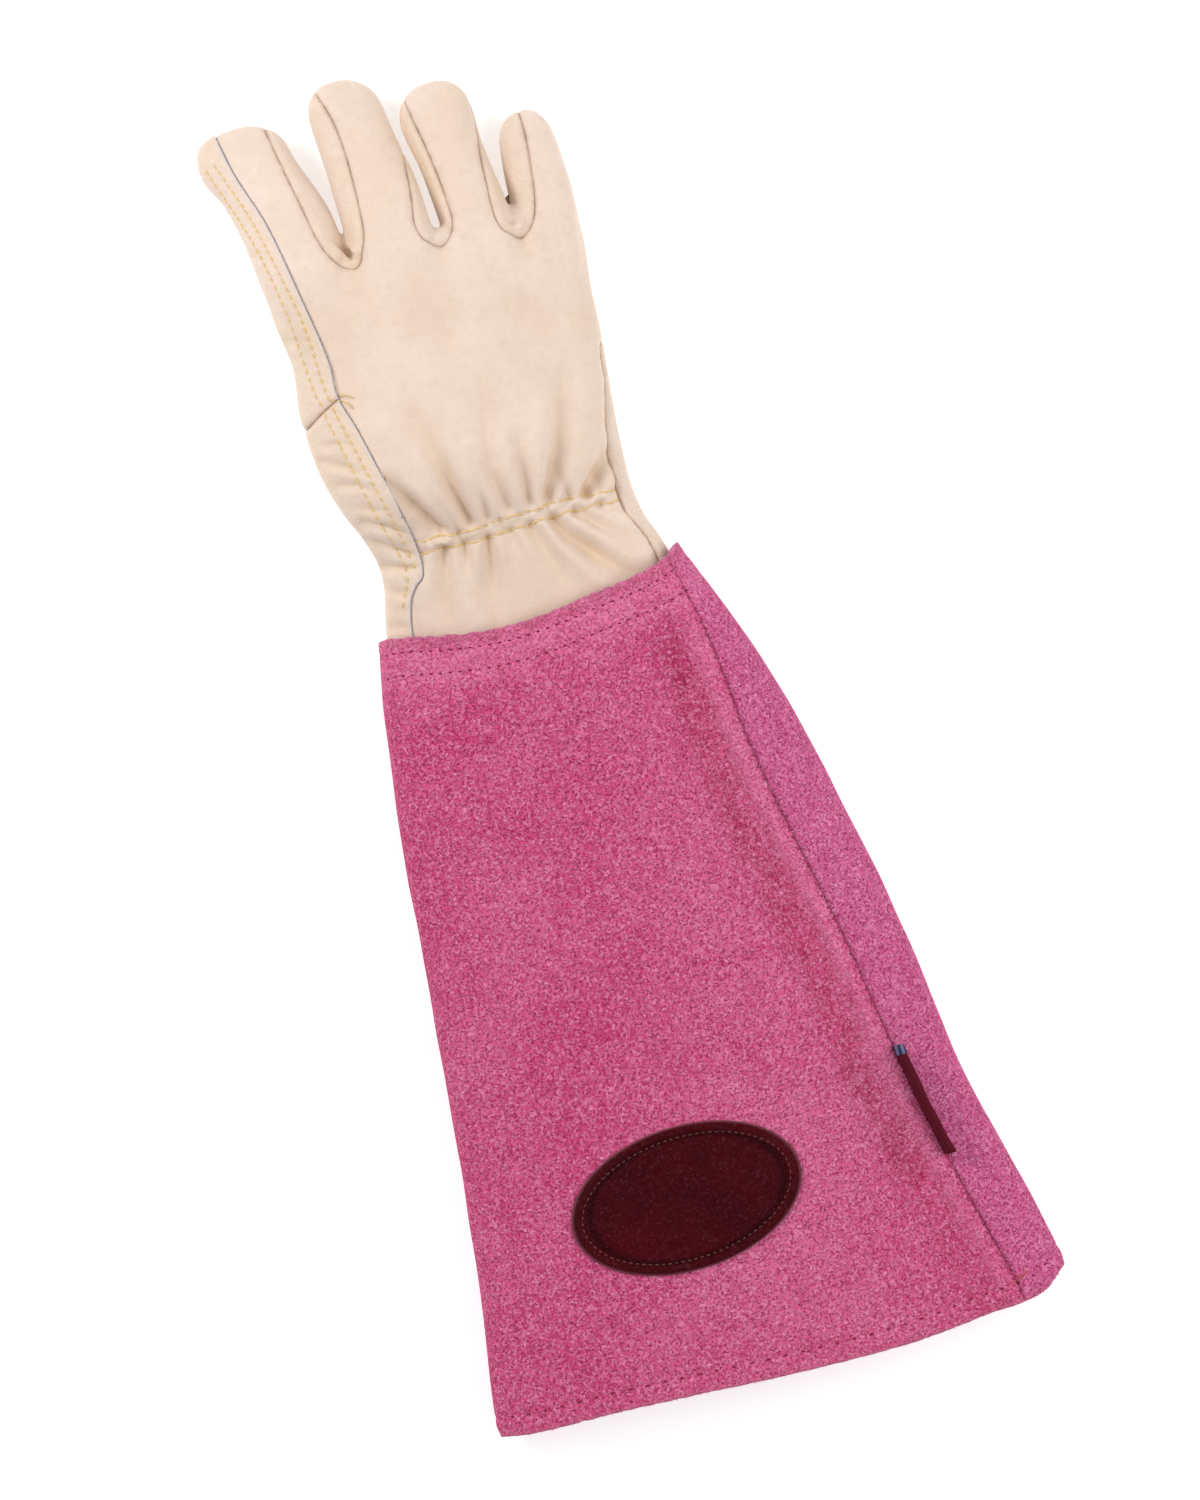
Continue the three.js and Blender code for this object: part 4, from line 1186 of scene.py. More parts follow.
def xyz(n, **parts):
    """A vector from its X, Y or Z."""
    return n.add("ShaderNodeCombineXYZ", parts).outputs[0]


def tube_along(n, curve, radius, sides):
    """A closed tube along a curve."""
    ring = n.add("GeometryNodeCurvePrimitiveCircle", {"Resolution": sides, "Radius": radius}).outputs[0]
    return n.add("GeometryNodeCurveToMesh",
                 {"Curve": curve, "Profile Curve": ring, "Fill Caps": True}).outputs[0]


def spots_along(n, given, spacing):
    """Places at even steps along the path that the tree runs on."""
    path = n.add("GeometryNodeMeshToCurve", {"Mesh": given["Geometry"]}).outputs[0]
    even = n.add("GeometryNodeResampleCurve", {"Curve": path, "Length": spacing}, mode="LENGTH")
    return n.add("GeometryNodeCurveToPoints", {"Curve": even.outputs[0]}, mode="EVALUATED").outputs


def path_normal(n):
    """The surface's normal, which the path carries on its points."""
    return n.add("GeometryNodeInputNamedAttribute", {"Name": "up"}, data_type="FLOAT_VECTOR").outputs[0]


def aligned(n, vector, axis, start=None, pivot="AUTO"):
    """A rotation that points an axis along a vector, beginning from another rotation if one is given."""
    inputs = {"Vector": vector} if start is None else {"Vector": vector, "Rotation": start}
    return n.add("FunctionNodeAlignRotationToVector", inputs, axis=axis, pivot_axis=pivot).outputs[0]


def random_number(n, given, low, high):
    """A number from low to high that differs at each place; the node's numbers are inputs 2 and 3."""
    return n.add("FunctionNodeRandomValue", {2: low, 3: high, "Seed": given["Seed"]}).outputs[1]


def set_down(n, spots, shape, rotation, lean, size):
    """The shape on every place as real faces, turned by the rotation and then leant by its own axes."""
    turned = n.add("FunctionNodeRotateRotation", {0: rotation, 1: lean}, rotation_space="LOCAL")
    shapes = n.add("GeometryNodeInstanceOnPoints", {
        "Points": spots[0],
        "Instance": shape,
        "Rotation": turned.outputs[0],
        "Scale": size,
    }).outputs[0]
    return n.add("GeometryNodeRealizeInstances", {0: shapes}).outputs[0]


def coloured(n, geometry, material):
    """What a tree puts out: its geometry with a material."""
    inputs = {"Geometry": geometry, "Material": material}
    return {"Geometry": n.add("GeometryNodeSetMaterial", inputs).outputs[0]}


def stitch_tree():
    """Geometry nodes: a thread stitch at every pitch along a path, arched and sunk at its ends."""
    def build(n, given):
        low = scaled(n, given["Sink"], -1.0)
        arch = n.add("GeometryNodeCurveQuadraticBezier", {
            "Resolution": 7,
            "Start": xyz(n, X=scaled(n, given["Length"], -0.5), Z=low),
            "Middle": xyz(n, Z=given["Rise"]),
            "End": xyz(n, X=scaled(n, given["Length"], 0.5), Z=low),
        }).outputs[0]
        thread = tube_along(n, arch, given["Thickness"], THREAD_SIDES)
        spots = spots_along(n, given, given["Pitch"])
        along = aligned(n, spots["Tangent"], "X")
        upright = aligned(n, path_normal(n), "Z", start=along, pivot="X")
        turn = random_number(n, given, scaled(n, given["Turn"], -1.0), given["Turn"])
        size = random_number(n, given, 0.88, 1.08)
        stitches = set_down(n, spots, thread, upright, xyz(n, Z=turn), size)
        smooth = n.add("GeometryNodeSetShadeSmooth", {0: stitches}).outputs[0]
        return coloured(n, smooth, given["Thread"])

    return node_group("Stitch row", "GeometryNodeTree", {
        "Geometry": "NodeSocketGeometry",
        "Pitch": 0.0028,
        "Length": 0.0021,
        "Thickness": 0.00028,
        "Sink": 0.00025,
        "Rise": 0.0005,
        "Turn": 0.12,
        "Seed": 1,
        "Thread": "NodeSocketMaterial",
    }, {"Geometry": "NodeSocketGeometry"}, build)


def fibre_tree():
    """Geometry nodes: short bent fibres that stand out of a cut edge."""
    def build(n, given):
        bend = scaled(n, given["Length"], 0.5)
        arc = n.add("GeometryNodeCurveQuadraticBezier", {
            "Resolution": 3,
            "Start": (0.0, 0.0, 0.0),
            "Middle": xyz(n, Z=bend),
            "End": xyz(n, X=bend, Z=given["Length"]),
        }).outputs[0]
        way = n.add("GeometryNodeSplineParameter").outputs["Factor"]
        taper = inverted(n, scaled(n, way, 0.8))
        tapered = n.add("GeometryNodeSetCurveRadius", {"Curve": arc, "Radius": taper}).outputs[0]
        fibre = tube_along(n, tapered, given["Thickness"], FIBRE_SIDES)
        spots = spots_along(n, given, given["Spacing"])
        upright = aligned(n, path_normal(n), "Z")
        least = scaled(n, given["Spread"], -1.0)
        lean = n.add("FunctionNodeRandomValue", {
            0: xyz(n, X=least, Y=least, Z=-3.1),
            1: xyz(n, X=given["Spread"], Y=given["Spread"], Z=3.1),
            "Seed": given["Seed"],
        }, data_type="FLOAT_VECTOR").outputs[0]
        fibres = set_down(n, spots, fibre, upright, lean, random_number(n, given, 0.45, 1.35))
        return coloured(n, fibres, given["Fibre"])

    return node_group("Edge fibres", "GeometryNodeTree", {
        "Geometry": "NodeSocketGeometry",
        "Spacing": 0.00022,
        "Length": 0.0011,
        "Thickness": 0.00006,
        "Spread": 0.9,
        "Seed": 1,
        "Fibre": "NodeSocketMaterial",
    }, {"Geometry": "NodeSocketGeometry"}, build)


def set_input(modifier, name, value):
    """Sets a modifier's input by its socket's identifier."""
    for item in modifier.node_group.interface.items_tree:
        if item.item_type == "SOCKET" and item.in_out == "INPUT" and item.name == name:
            modifier[item.identifier] = value
            return
    raise RuntimeError(f"{modifier.node_group.name} has no input {name}")


def run_tree(obj, tree, **values):
    """Runs a geometry node tree on an object and keeps the result as a plain mesh."""
    modifier = obj.modifiers.new(tree.name, "NODES")
    modifier.node_group = tree
    for name, value in values.items():
        set_input(modifier, name.capitalize(), value)
    return made_plain(obj)


def tube(name, points, radius, material):
    """A loose thread along some points, in millimetres."""
    points = np.asarray(points, float)
    along = np.gradient(points, axis=0)
    along /= np.linalg.norm(along, axis=1, keepdims=True)
    side = np.cross(along, (0.12, 0.05, 1.0))
    side /= np.linalg.norm(side, axis=1, keepdims=True)
    up = np.cross(side, along)
    sides = THREAD_SIDES
    angle = 2 * np.pi * np.arange(sides) / sides
    rings = points[:, None] + radius * (np.cos(angle)[None, :, None] * side[:, None]
                                        + np.sin(angle)[None, :, None] * up[:, None])
    last = (len(points) - 1) * sides
    faces = ring_faces(len(points), sides) + [tuple(range(sides))[::-1], tuple(range(last, last + sides))]
    obj = mesh_object(name, placed(rings.reshape(-1, 3)), faces)
    obj.data.materials.append(material)
    outward(obj)
    return obj


def joined(name, objects):
    """Several plain meshes as one object."""
    with bpy.context.temp_override(active_object=objects[0], selected_editable_objects=objects):
        bpy.ops.object.join()
    objects[0].name = name
    return objects[0]


# Shader groups

# A Mix node's inputs share their names between kinds, so these are given by number
MIX_VECTORS = (4, 5)
MIX_COLOURS = (6, 7)


def shader_group(name, inputs, outputs, build):
    """A group of shader nodes whose outputs are all masks or heights."""
    return node_group(name, "ShaderNodeTree", inputs, dict.fromkeys(outputs, "NodeSocketFloat"), build)


def object_place(n):
    """Object coordinates, which are metres of the model's frame."""
    return n.add("ShaderNodeTexCoord").outputs["Object"]


def cloudy(n, place, scale, detail, output="Fac", **more):
    """A noise texture; other inputs are given by name, such as Roughness."""
    inputs = {"Vector": place, "Scale": scale, "Detail": detail, **more}
    return n.add("ShaderNodeTexNoise", inputs).outputs[output]


def warped(n, place, scale, detail, amount):
    """Coordinates that noise bends a little."""
    bend = cloudy(n, place, scale, detail, "Color")
    inputs = {"Factor": amount, MIX_VECTORS[0]: place, MIX_VECTORS[1]: bend}
    return n.add("ShaderNodeMix", inputs, data_type="VECTOR").outputs[1]


def ramp(n, value, *stops):
    """A colour ramp as a mask: (position, grey) pairs."""
    node = n.add("ShaderNodeValToRGB", {"Fac": value})
    elements = node.color_ramp.elements
    while len(elements) < len(stops):
        elements.new(0.5)
    for element, (position, grey) in zip(elements, stops):
        element.position = position
        element.color = (grey, grey, grey, 1)
    return node.outputs["Color"]


def leather_grain_group():
    """Fine pebbled grain with pores, and slow differences of tone over the hide."""
    def build(n, given):
        place = object_place(n)
        bent = warped(n, place, 260.0, 2.0, 0.0016)
        cells = n.add("ShaderNodeTexVoronoi", {"Vector": bent, "Scale": given["Grain"]},
                      feature="DISTANCE_TO_EDGE").outputs["Distance"]
        pebble = ramp(n, cells, (0.0, 0.0), (0.18, 0.75), (0.6, 1.0))
        creases = cloudy(n, bent, 330.0, 5.0, Roughness=0.62)
        fine = cloudy(n, place, 2600.0, 2.0)
        coarse = math_node(n, "ADD", scaled(n, pebble, 0.5), creases)
        slow = cloudy(n, place, 26.0, 5.0, Roughness=0.6)
        blotch = cloudy(n, place, 95.0, 5.0, Roughness=0.65)
        return {
            "Height": math_node(n, "ADD", coarse, scaled(n, fine, 0.25)),
            "Tone": ramp(n, slow, (0.36, 0.0), (0.64, 1.0)),
            "Speck": ramp(n, blotch, (0.34, 0.0), (0.68, 1.0)),
            "Crease": ramp(n, creases, (0.36, 1.0), (0.52, 0.0)),
            "Pebble": pebble,
        }

    outputs = ("Height", "Tone", "Speck", "Crease", "Pebble")
    return shader_group("Leather grain", {"Grain": 1150.0}, outputs, build)


def suede_nap_group():
    """Matted suede: small tufts of uneven tone, hair streaks, brushed patches and the nap's height."""
    def build(n, given):
        place = object_place(n)
        bent = warped(n, place, 750.0, 3.0, 0.0014)
        tufts = n.add("ShaderNodeTexVoronoi", {
            "Vector": bent,
            "Scale": given["Tufts"],
            "Smoothness": 0.6,
        }, feature="SMOOTH_F1").outputs
        grain = ramp(n, tufts["Distance"], (0.10, 1.0), (0.55, 0.0))
        tone = ramp(n, tufts["Color"], (0.28, 0.0), (0.66, 1.0))
        hair = cloudy(n, bent, given["Hair"], 4.0, Roughness=0.62, Distortion=1.6)
        gaps = cloudy(n, bent, given["Pits"], 3.0, Roughness=0.6, Distortion=0.3)
        pits = ramp(n, gaps, (0.34, 1.0), (0.50, 0.0))
        patch = cloudy(n, place, 19.0, 6.0, Roughness=0.62)
        raised = math_node(n, "ADD", scaled(n, grain, 0.4), scaled(n, tone, 0.2))
        matted = math_node(n, "ADD", raised, scaled(n, hair, 0.8))
        return {
            "Grain": grain,
            "Tone": tone,
            "Pits": pits,
            "Hair": ramp(n, hair, (0.42, 0.0), (0.60, 1.0)),
            "Brushed": ramp(n, patch, (0.36, 0.0), (0.64, 1.0)),
            "Height": math_node(n, "SUBTRACT", matted, scaled(n, pits, 0.5)),
        }

    inputs = {"Tufts": 1050.0, "Hair": 1450.0, "Pits": 1450.0}
    outputs = ("Grain", "Tone", "Pits", "Hair", "Brushed", "Height")
    return shader_group("Suede nap", inputs, outputs, build)


# Materials

def material_once(name, build):
    """A material built once; build(nodes) returns the inputs of its Principled shader."""
    if name in bpy.data.materials:
        return bpy.data.materials[name]
    material = bpy.data.materials.new(name)
    material.use_nodes = True
    tree = material.node_tree
    tree.nodes.clear()
    n = Nodes(tree)
    shader = n.add("ShaderNodeBsdfPrincipled", build(n))
    n.add("ShaderNodeOutputMaterial", {"Surface": shader.outputs[0]})
    return material


def mask(n, name):
    """A mask that the mesh carries on its points."""
    return n.add("ShaderNodeAttribute", attribute_name=name).outputs["Fac"]


def mixed(n, factor, first, second):
    """The first colour going over into the second; each is a socket or three numbers."""
    tones = [tone if isinstance(tone, bpy.types.NodeSocket) else (*tone, 1.0) for tone in (first, second)]
    inputs = {"Factor": factor, **dict(zip(MIX_COLOURS, tones))}
    return n.add("ShaderNodeMix", inputs, data_type="RGBA").outputs[2]


def layered(n, tone, *layers):
    """A tone with others laid over it in turn, each as (mask, tone)."""
    for cover, top in layers:
        tone = mixed(n, cover, tone, top)
    return tone


def bumped(n, height, strength, distance):
    """A normal that follows a height, over a distance in metres."""
    inputs = {"Height": height, "Strength": strength, "Distance": distance}
    return n.add("ShaderNodeBump", inputs).outputs[0]


def times(tone, amount):
    """A tone made lighter or darker."""
    return tuple(part * amount for part in tone)


def tinted(tone, tint):
    """A tone whose red, green and blue are each changed a little."""
    return tuple(part * amount for part, amount in zip(tone, tint))


def leather_grain(n, size):
    """The leather's grain in a material, at its own scale."""
    return n.add("ShaderNodeGroup", {"Grain": size}, node_tree=leather_grain_group()).outputs


def leather_material(name, colours):
    """Cream glove leather: tone drifts from pale to warm, pores are darker, cut edges are grey, and
    painted shade lies in the folds and seams.
    """
    leather = LEATHERS[name]
    pale = tinted(colours.leather_pale, leather["pale_tint"])
    warm = tinted(colours.leather_warm, leather["warm_tint"])

    def build(n):
        grain = leather_grain(n, leather["grain"])
        speck = grain["Speck"]
        uneven = math_node(n, "ADD", scaled(n, speck, 0.5), 0.16)
        tone = layered(
            n, mixed(n, grain["Tone"], pale, warm),
            (scaled(n, speck, 0.24), times(warm, 0.86)),
            (scaled(n, grain["Crease"], 0.2), times(warm, 0.78)),
            (scaled(n, inverted(n, grain["Pebble"]), leather["pores"]), times(warm, 0.72)),
            # Painted shade down in the folds.
            (scaled(n, mask(n, "fold"), 0.42), colours.fold_tone),
            (math_node(n, "MULTIPLY", mask(n, "seam"), uneven), colours.seam_shadow),
            (mask(n, "raw"), colours.raw_edge),
            (mask(n, "brown"), colours.brown_edge),
        )
        return {
            "Base Color": tone,
            "Roughness": math_node(n, "MULTIPLY_ADD", speck, 0.12, 0.56),
            "Specular IOR Level": 0.38,
            "Sheen Weight": 0.12,
            "Sheen Roughness": 0.6,
            "Normal": bumped(n, grain["Height"], leather["bump"], 0.00032),
        }

    return material_once(name, build)


def suede_material(colours):
    """Pink suede: matted nap in three pinks, paler along its cut edges, with a pale band at the top,
    painted highlight on the tufts and on the ridge beside the seam, and painted shade in the pits, the
    valley and the seam.
    """
    deep, mid, pale = colours.suede_deep, colours.suede, colours.suede_pale

    def build(n):
        nap = n.add("ShaderNodeGroup", node_tree=suede_nap_group()).outputs
        # Painted highlight on the tops of the tufts, and painted shade in the gaps between them and in the
        # pits.
        lit = math_node(n, "MULTIPLY", nap["Tone"], nap["Hair"])
        gaps = inverted(n, math_node(n, "MULTIPLY", nap["Grain"], nap["Hair"]))
        # Less painted shade in the pits where the nap is pale.
        fewer_on_pale = math_node(n, "MULTIPLY_ADD", mask(n, "pale"), -0.3, 0.85)
        tone = layered(
            n, mid,
            (scaled(n, nap["Brushed"], 0.26), pale),
            (scaled(n, inverted(n, nap["Brushed"]), 0.16), deep),
            (scaled(n, mask(n, "strip"), 0.7), colours.suede_strip),
            # A pale band at the top with painted highlight on the ridge beside the seam, then painted
            # shade in the valley beside it.
            (scaled(n, mask(n, "pale"), 0.62), colours.suede_brushed),
            (scaled(n, mask(n, "deep"), 0.6), deep),
            # Painted highlight on the tufts, then painted shade between them and in the pits.
            (scaled(n, lit, 0.85), pale),
            (scaled(n, gaps, 0.18), deep),
            (math_node(n, "MULTIPLY", nap["Pits"], fewer_on_pale), deep),
            # Painted shade along the seam.
            (scaled(n, mask(n, "seam"), 0.2), deep),
            (scaled(n, mask(n, "edge"), 0.35), pale),
        )
        return {
            "Base Color": tone,
            "Roughness": 0.95,
            "Specular IOR Level": 0.06,
            "Sheen Weight": 0.06,
            "Sheen Roughness": 0.45,
            "Sheen Tint": (1.0, 0.55, 0.72, 1.0),
            "Normal": bumped(n, nap["Height"], 0.9, 0.0007),
        }

    return material_once("Pink suede", build)


def patch_material(colours):
    """Burgundy leather: dark, with worn flecks that also stand in for painted glints, painted shade along
    the sewn line, and a paler cut rim with painted highlight.
    """
    def build(n):
        grain = leather_grain(n, 1400.0)
        fine = cloudy(n, object_place(n), 900.0, 4.0, Roughness=0.7)
        # Worn flecks, which also stand in for painted glints of reflection on the glossy leather.
        rubbed = ramp(n, fine, (0.54, 0.0), (0.70, 1.0))
        tone = layered(
            n, mixed(n, grain["Tone"], colours.patch, times(colours.patch, 1.5)),
            (scaled(n, grain["Speck"], 0.5), times(colours.patch, 0.4)),
            (scaled(n, inverted(n, grain["Pebble"]), 0.25), times(colours.patch, 0.2)),
            (scaled(n, rubbed, 0.5), colours.patch_worn),
            # Painted shade down in the sewn groove.
            (scaled(n, mask(n, "sewn"), 0.8), times(colours.patch, 0.2)),
            # A paler cut rim, with painted highlight on its bevel.
            (mask(n, "edge"), colours.patch_edge),
        )
        return {
            "Base Color": tone,
            "Roughness": math_node(n, "MULTIPLY_ADD", grain["Speck"], 0.2, 0.2),
            "Specular IOR Level": 0.2,
            "Specular Tint": (0.9, 0.28, 0.34, 1.0),
            "Normal": bumped(n, grain["Height"], 0.8, 0.0005),
        }

    return material_once("Burgundy leather", build)


def ribbon_material(name, dark, light, direction, scale):
    """A woven ribbon: fine ribs or streaks between two tones."""
    def build(n):
        inputs = {"Vector": object_place(n), "Scale": scale, "Distortion": 1.2, "Detail": 2.0}
        ribs = n.add("ShaderNodeTexWave", inputs, bands_direction=direction).outputs["Fac"]
        return {
            "Base Color": mixed(n, ribs, dark, light),
            "Roughness": 0.6,
            "Specular IOR Level": 0.2,
            "Specular Tint": (0.9, 0.4, 0.5, 1.0),
            "Normal": bumped(n, ribs, 0.5, 0.0002),
        }

    return material_once(name, build)


def thread_material(name, colour, sheen=0.0):
    """Sewing thread: twisted strands seen as fine slanting bands of painted shade and painted highlight.
    """
    def build(n):
        place = object_place(n)
        slant = n.add("ShaderNodeMapping", {"Vector": place, "Rotation": (0.0, 0.0, 0.7)}).outputs[0]
        inputs = {"Vector": slant, "Scale": 700.0, "Distortion": 1.0}
        twist = n.add("ShaderNodeTexWave", inputs).outputs["Fac"]
        # Lighter and darker copies of the thread's colour: painted highlight and painted shade on the
        # twisted strands.
        light = tuple(min(1, part) for part in times(colour, 1.15))
        return {
            "Base Color": mixed(n, twist, times(colour, 0.68), light),
            "Roughness": 0.6,
            "Specular IOR Level": 0.25,
            "Sheen Weight": sheen,
            "Normal": bumped(n, twist, 0.5, 0.00015),
        }

    return material_once(name, build)


def floor_material():
    """A pale floor that glows a little, so that shadows stay soft."""
    return material_once("Pale floor", lambda n: {
        "Base Color": (0.75, 0.75, 0.75, 1),
        "Emission Color": (1.0, 1.0, 1.0, 1),
        "Emission Strength": 0.5,
        "Roughness": 0.9,
    })


# Settings that a user would change

def length(name, description, default):
    """A length that a user may set, in metres."""
    return bpy.props.FloatProperty(name=name, description=description, default=default,
                                   min=0.0, unit="LENGTH", precision=5)


def colour(name, description, default):
    """A colour that a user may set."""
    return bpy.props.FloatVectorProperty(name=name, description=description, default=default,
                                         size=3, min=0.0, max=1.0, subtype="COLOR")


class GloveSizes(bpy.types.PropertyGroup):
    """Sizes of the leather, the suede and the sewing."""

    leather_wall: length("Leather wall", "Thickness of the hand's leather", 0.0013)
    suede_wall: length("Suede wall", "Thickness of the cuff", 0.0018)
    skin_grid: length("Skin grid", "Spacing of the hand's mesh", 0.0007)
    groove_depth: length("Groove depth", "How deep the turned seams sit", 0.00062)
    fold_strength: bpy.props.FloatProperty(name="Fold strength", description="Depth of the back's folds",
                                           default=1.3, min=0.0, subtype="FACTOR")
    stitch_pitch: length("Stitch pitch", "From one top stitch to the next", 0.0028)
    stitch_length: length("Stitch length", "Seen length of one top stitch", 0.0021)
    thread: length("Thread", "Radius of the sewing thread", 0.00027)
    patch_wall: length("Patch wall", "Thickness of the oval patch", 0.0016)


class GloveColours(bpy.types.PropertyGroup):
    """Colours of the leather, the suede, the threads and the edges."""

    leather_pale: colour("Pale leather", "Lightest tone of the hand", (0.812, 0.656, 0.570))
    leather_warm: colour("Warm leather", "Deeper tone of the hand", (0.758, 0.592, 0.468))
    # Painted shade of the leather down in its folds.
    fold_tone: colour("Fold tone", "Warm tone of the leather down in its folds", (0.69, 0.49, 0.30))
    seam_shadow: colour("Seam shadow", "Tone of the leather inside a seam", (0.36, 0.21, 0.13))
    raw_edge: colour("Cut edge", "Grey cut edge of the lapped strip", (0.66, 0.63, 0.66))
    brown_edge: colour("Brown edge", "Cut edge of the raised palm seam", (0.33, 0.17, 0.09))
    suede: colour("Suede", "Main pink of the cuff", (0.81, 0.094, 0.272))
    # Also the painted shade in the suede's pits, between its tufts, in the valley and along the seam.
    suede_deep: colour("Deep suede", "Darkest flecks of the cuff", (0.36, 0.009, 0.068))
    # Also the painted highlight on the tops of the tufts.
    suede_pale: colour("Pale suede", "Lightest fibres of the cuff", (0.95, 0.37, 0.585))
    # A pale band at the top of the cuff, and painted highlight on the ridge beside the seam.
    suede_brushed: colour("Brushed suede", "Cuff where its nap is combed up", (1.0, 0.25, 0.47))
    suede_fibre: colour("Suede fibre", "Loose fibres along the cut edges", (0.86, 0.23, 0.41))
    suede_strip: colour("Strip suede", "Side whose nap lies the other way", (0.74, 0.155, 0.385))
    patch: colour("Patch", "Oval patch", (0.046, 0.0004, 0.0026))
    # Worn flecks of the patch, and painted glints of reflection.
    patch_worn: colour("Worn patch", "Rubbed flecks of the patch", (0.150, 0.030, 0.046))
    # The paler cut rim of the patch, with painted highlight on its bevel.
    patch_edge: colour("Patch edge", "Cut rim of the patch", (0.17, 0.055, 0.070))
    ribbon: colour("Ribbon", "Side tag", (0.085, 0.005, 0.012))
    ribbon_end: colour("Ribbon end", "Pale streaks of the side tag's folded end", (0.15, 0.17, 0.32))
    yellow_thread: colour("Yellow thread", "Top stitching and elastic rows", (0.84, 0.58, 0.22))
    pink_thread: colour("Pink thread", "Sewing of the cuff", (0.24, 0.006, 0.035))
    orange_thread: colour("Orange thread", "Bar of close stitches at the hem", (0.55, 0.10, 0.06))
    tan_thread: colour("Tan thread", "Sewing of the patch", (0.16, 0.055, 0.04))


# Operators

class GloveOperator(bpy.types.Operator):
    """What the glove's operators share."""

    bl_options = {"REGISTER", "UNDO"}

    def settings(self, context):
        """The sizes and the colours as the user has set them."""
        return context.scene.glove_sizes, context.scene.glove_colours


class GLOVE_OT_stage(GloveOperator):
    """Make the floor, the soft light and the camera above the glove"""

    bl_idname = "glove.stage"
    bl_label = "Floor, light and camera"

    def execute(self, context):
        corners = [(x * FLOOR_HALF, y * FLOOR_HALF, FLOOR_HEIGHT)
                   for x, y in ((-1, -1), (1, -1), (1, 1), (-1, 1))]
        floor = mesh_object("floor", corners, [(0, 1, 2, 3)], smooth=False)
        floor.data.materials.append(floor_material())
        aim = Vector(placed(AIM))
        camera = bpy.data.cameras.new("camera")
        camera.lens = LENS
        camera.sensor_width = SENSOR
        seat = bpy.data.objects.new("camera", camera)
        seat.location = aim + Vector((0, 0, LENS * VIEW_HEIGHT / SENSOR))
        seat.rotation_euler = (0, 0, math.radians(CAMERA_TURN))
        context.scene.collection.objects.link(seat)
        context.scene.camera = seat
        for lamp in LAMPS:
            self.light(context, aim, **lamp)
        world = bpy.data.worlds.new("studio")
        world.use_nodes = True
        background = world.node_tree.nodes["Background"]
        background.inputs["Color"].default_value = (1.0, 1.0, 1.0, 1)
        background.inputs["Strength"].default_value = AMBIENT
        context.scene.world = world
        context.scene.view_settings.view_transform = "Standard"
        return {"FINISHED"}

    def light(self, context, aim, name, offset, size, power):
        """A round lamp that stands off from the aim and faces it."""
        lamp = bpy.data.lights.new(name, "AREA")
        lamp.shape = "DISK"
        lamp.size = size
        lamp.energy = power
        seat = bpy.data.objects.new(name, lamp)
        seat.location = aim + Vector(offset)
        seat.rotation_euler = (-Vector(offset)).to_track_quat("-Z", "Y").to_euler()
        context.scene.collection.objects.link(seat)


class GLOVE_OT_hand(GloveOperator):
    """Make the leather hand: one skin, cut into its panels along the seams"""

    bl_idname = "glove.hand"
    bl_label = "Leather hand"

    def execute(self, context):
        sizes, colours = self.settings(context)
        lofts = [hand_loft()] + [finger_loft(tip, table) for tip, table in FINGERS.values()]
        seamed = Seamed(Skin(lofts, sizes.skin_grid, HAND_SMOOTHING))
        # folded is the mask of painted shade down in the folds.
        brown, folded = shape_hand(seamed, sizes)
        finishes = {
            "hand_back": ("Cream back", "cream_back"),
            "hand_palm": ("Cream palm", "cream_palm"),
            "finger_front": ("Cream palm", "cream_palm"),
        }
        shadow = np.exp(-seamed.to_seam / 0.35) + 0.5 * np.exp(-seamed.to_cross / 0.4)
        cut_edge = 1 - smoothstep(seamed.to_lap, 0.05, 0.6)
        kept = seamed.skin.centres()[:, 1] > WRIST_END + WRIST_OPENING
        for number, node in enumerate(PANELS):
            masks = {
                # The seam mask is painted shadow: in the seams, along the cross seam, and on the back
                # beside the lapped strips.
                "seam": shadow + 0.15 * (number == BACK) * np.exp(-seamed.to_lap / 0.5),
                "raw": cut_edge * (number in STRIPS),
                "brown": brown,
                "fold": folded,
            }
            faces = seamed.skin.faces[(seamed.panel == number) & kept]
            points = lapped(seamed, number, sizes)
            piece = cut_panel(points, seamed.skin.normals, faces, node + "_leather", masks,
                              sizes.leather_wall)
            material, slot = finishes.get(node, ("Cream side", "cream_side"))
            finish_piece(piece, leather_material(material, colours), [node])
        return {"FINISHED"}


class GLOVE_OT_thumb(GloveOperator):
    """Make the thumb, folded between the palm and the ground"""

    bl_idname = "glove.thumb"
    bl_label = "Thumb"

    def execute(self, context):
        sizes, colours = self.settings(context)
        skin = Skin([thumb_loft()], sizes.skin_grid * 1.5, THUMB_SMOOTHING)
        x, y, z = skin.points.T
        side_seam = np.abs(z - THUMB("z", y) - 1.0) + 50 * (x > THUMB("x", y))
        relief = leather_unevenness(x, y, z) * 0.9 + seam_groove(side_seam, 0.8)
        relief -= 1.1 * bell(np.hypot(y - 48, 0.3 * (x + 18)), 4.0) * smoothstep(-z, -16, -2)
        move_skin(skin, relief)
        palm = Ground([bpy.data.objects["hand_palm_leather"]])
        keep = np.array([self.outside(palm.tree, Vector(centre)) for centre in placed(skin.centres())])
        masks = {"seam": np.exp(-side_seam / 0.6)}
        piece = cut_panel(skin.points, skin.normals, skin.faces[keep], "thumb_leather", masks,
                          sizes.leather_wall)
        finish_piece(piece, leather_material("Cream palm", colours), ["thumb"])
        return {"FINISHED"}

    def outside(self, tree, centre):
        """Whether a place is below the palm and not inside the hand."""
        spot, normal, _, away = tree.find_nearest(centre)
        return away > 0.02 or (centre - spot).dot(normal) > -0.0004


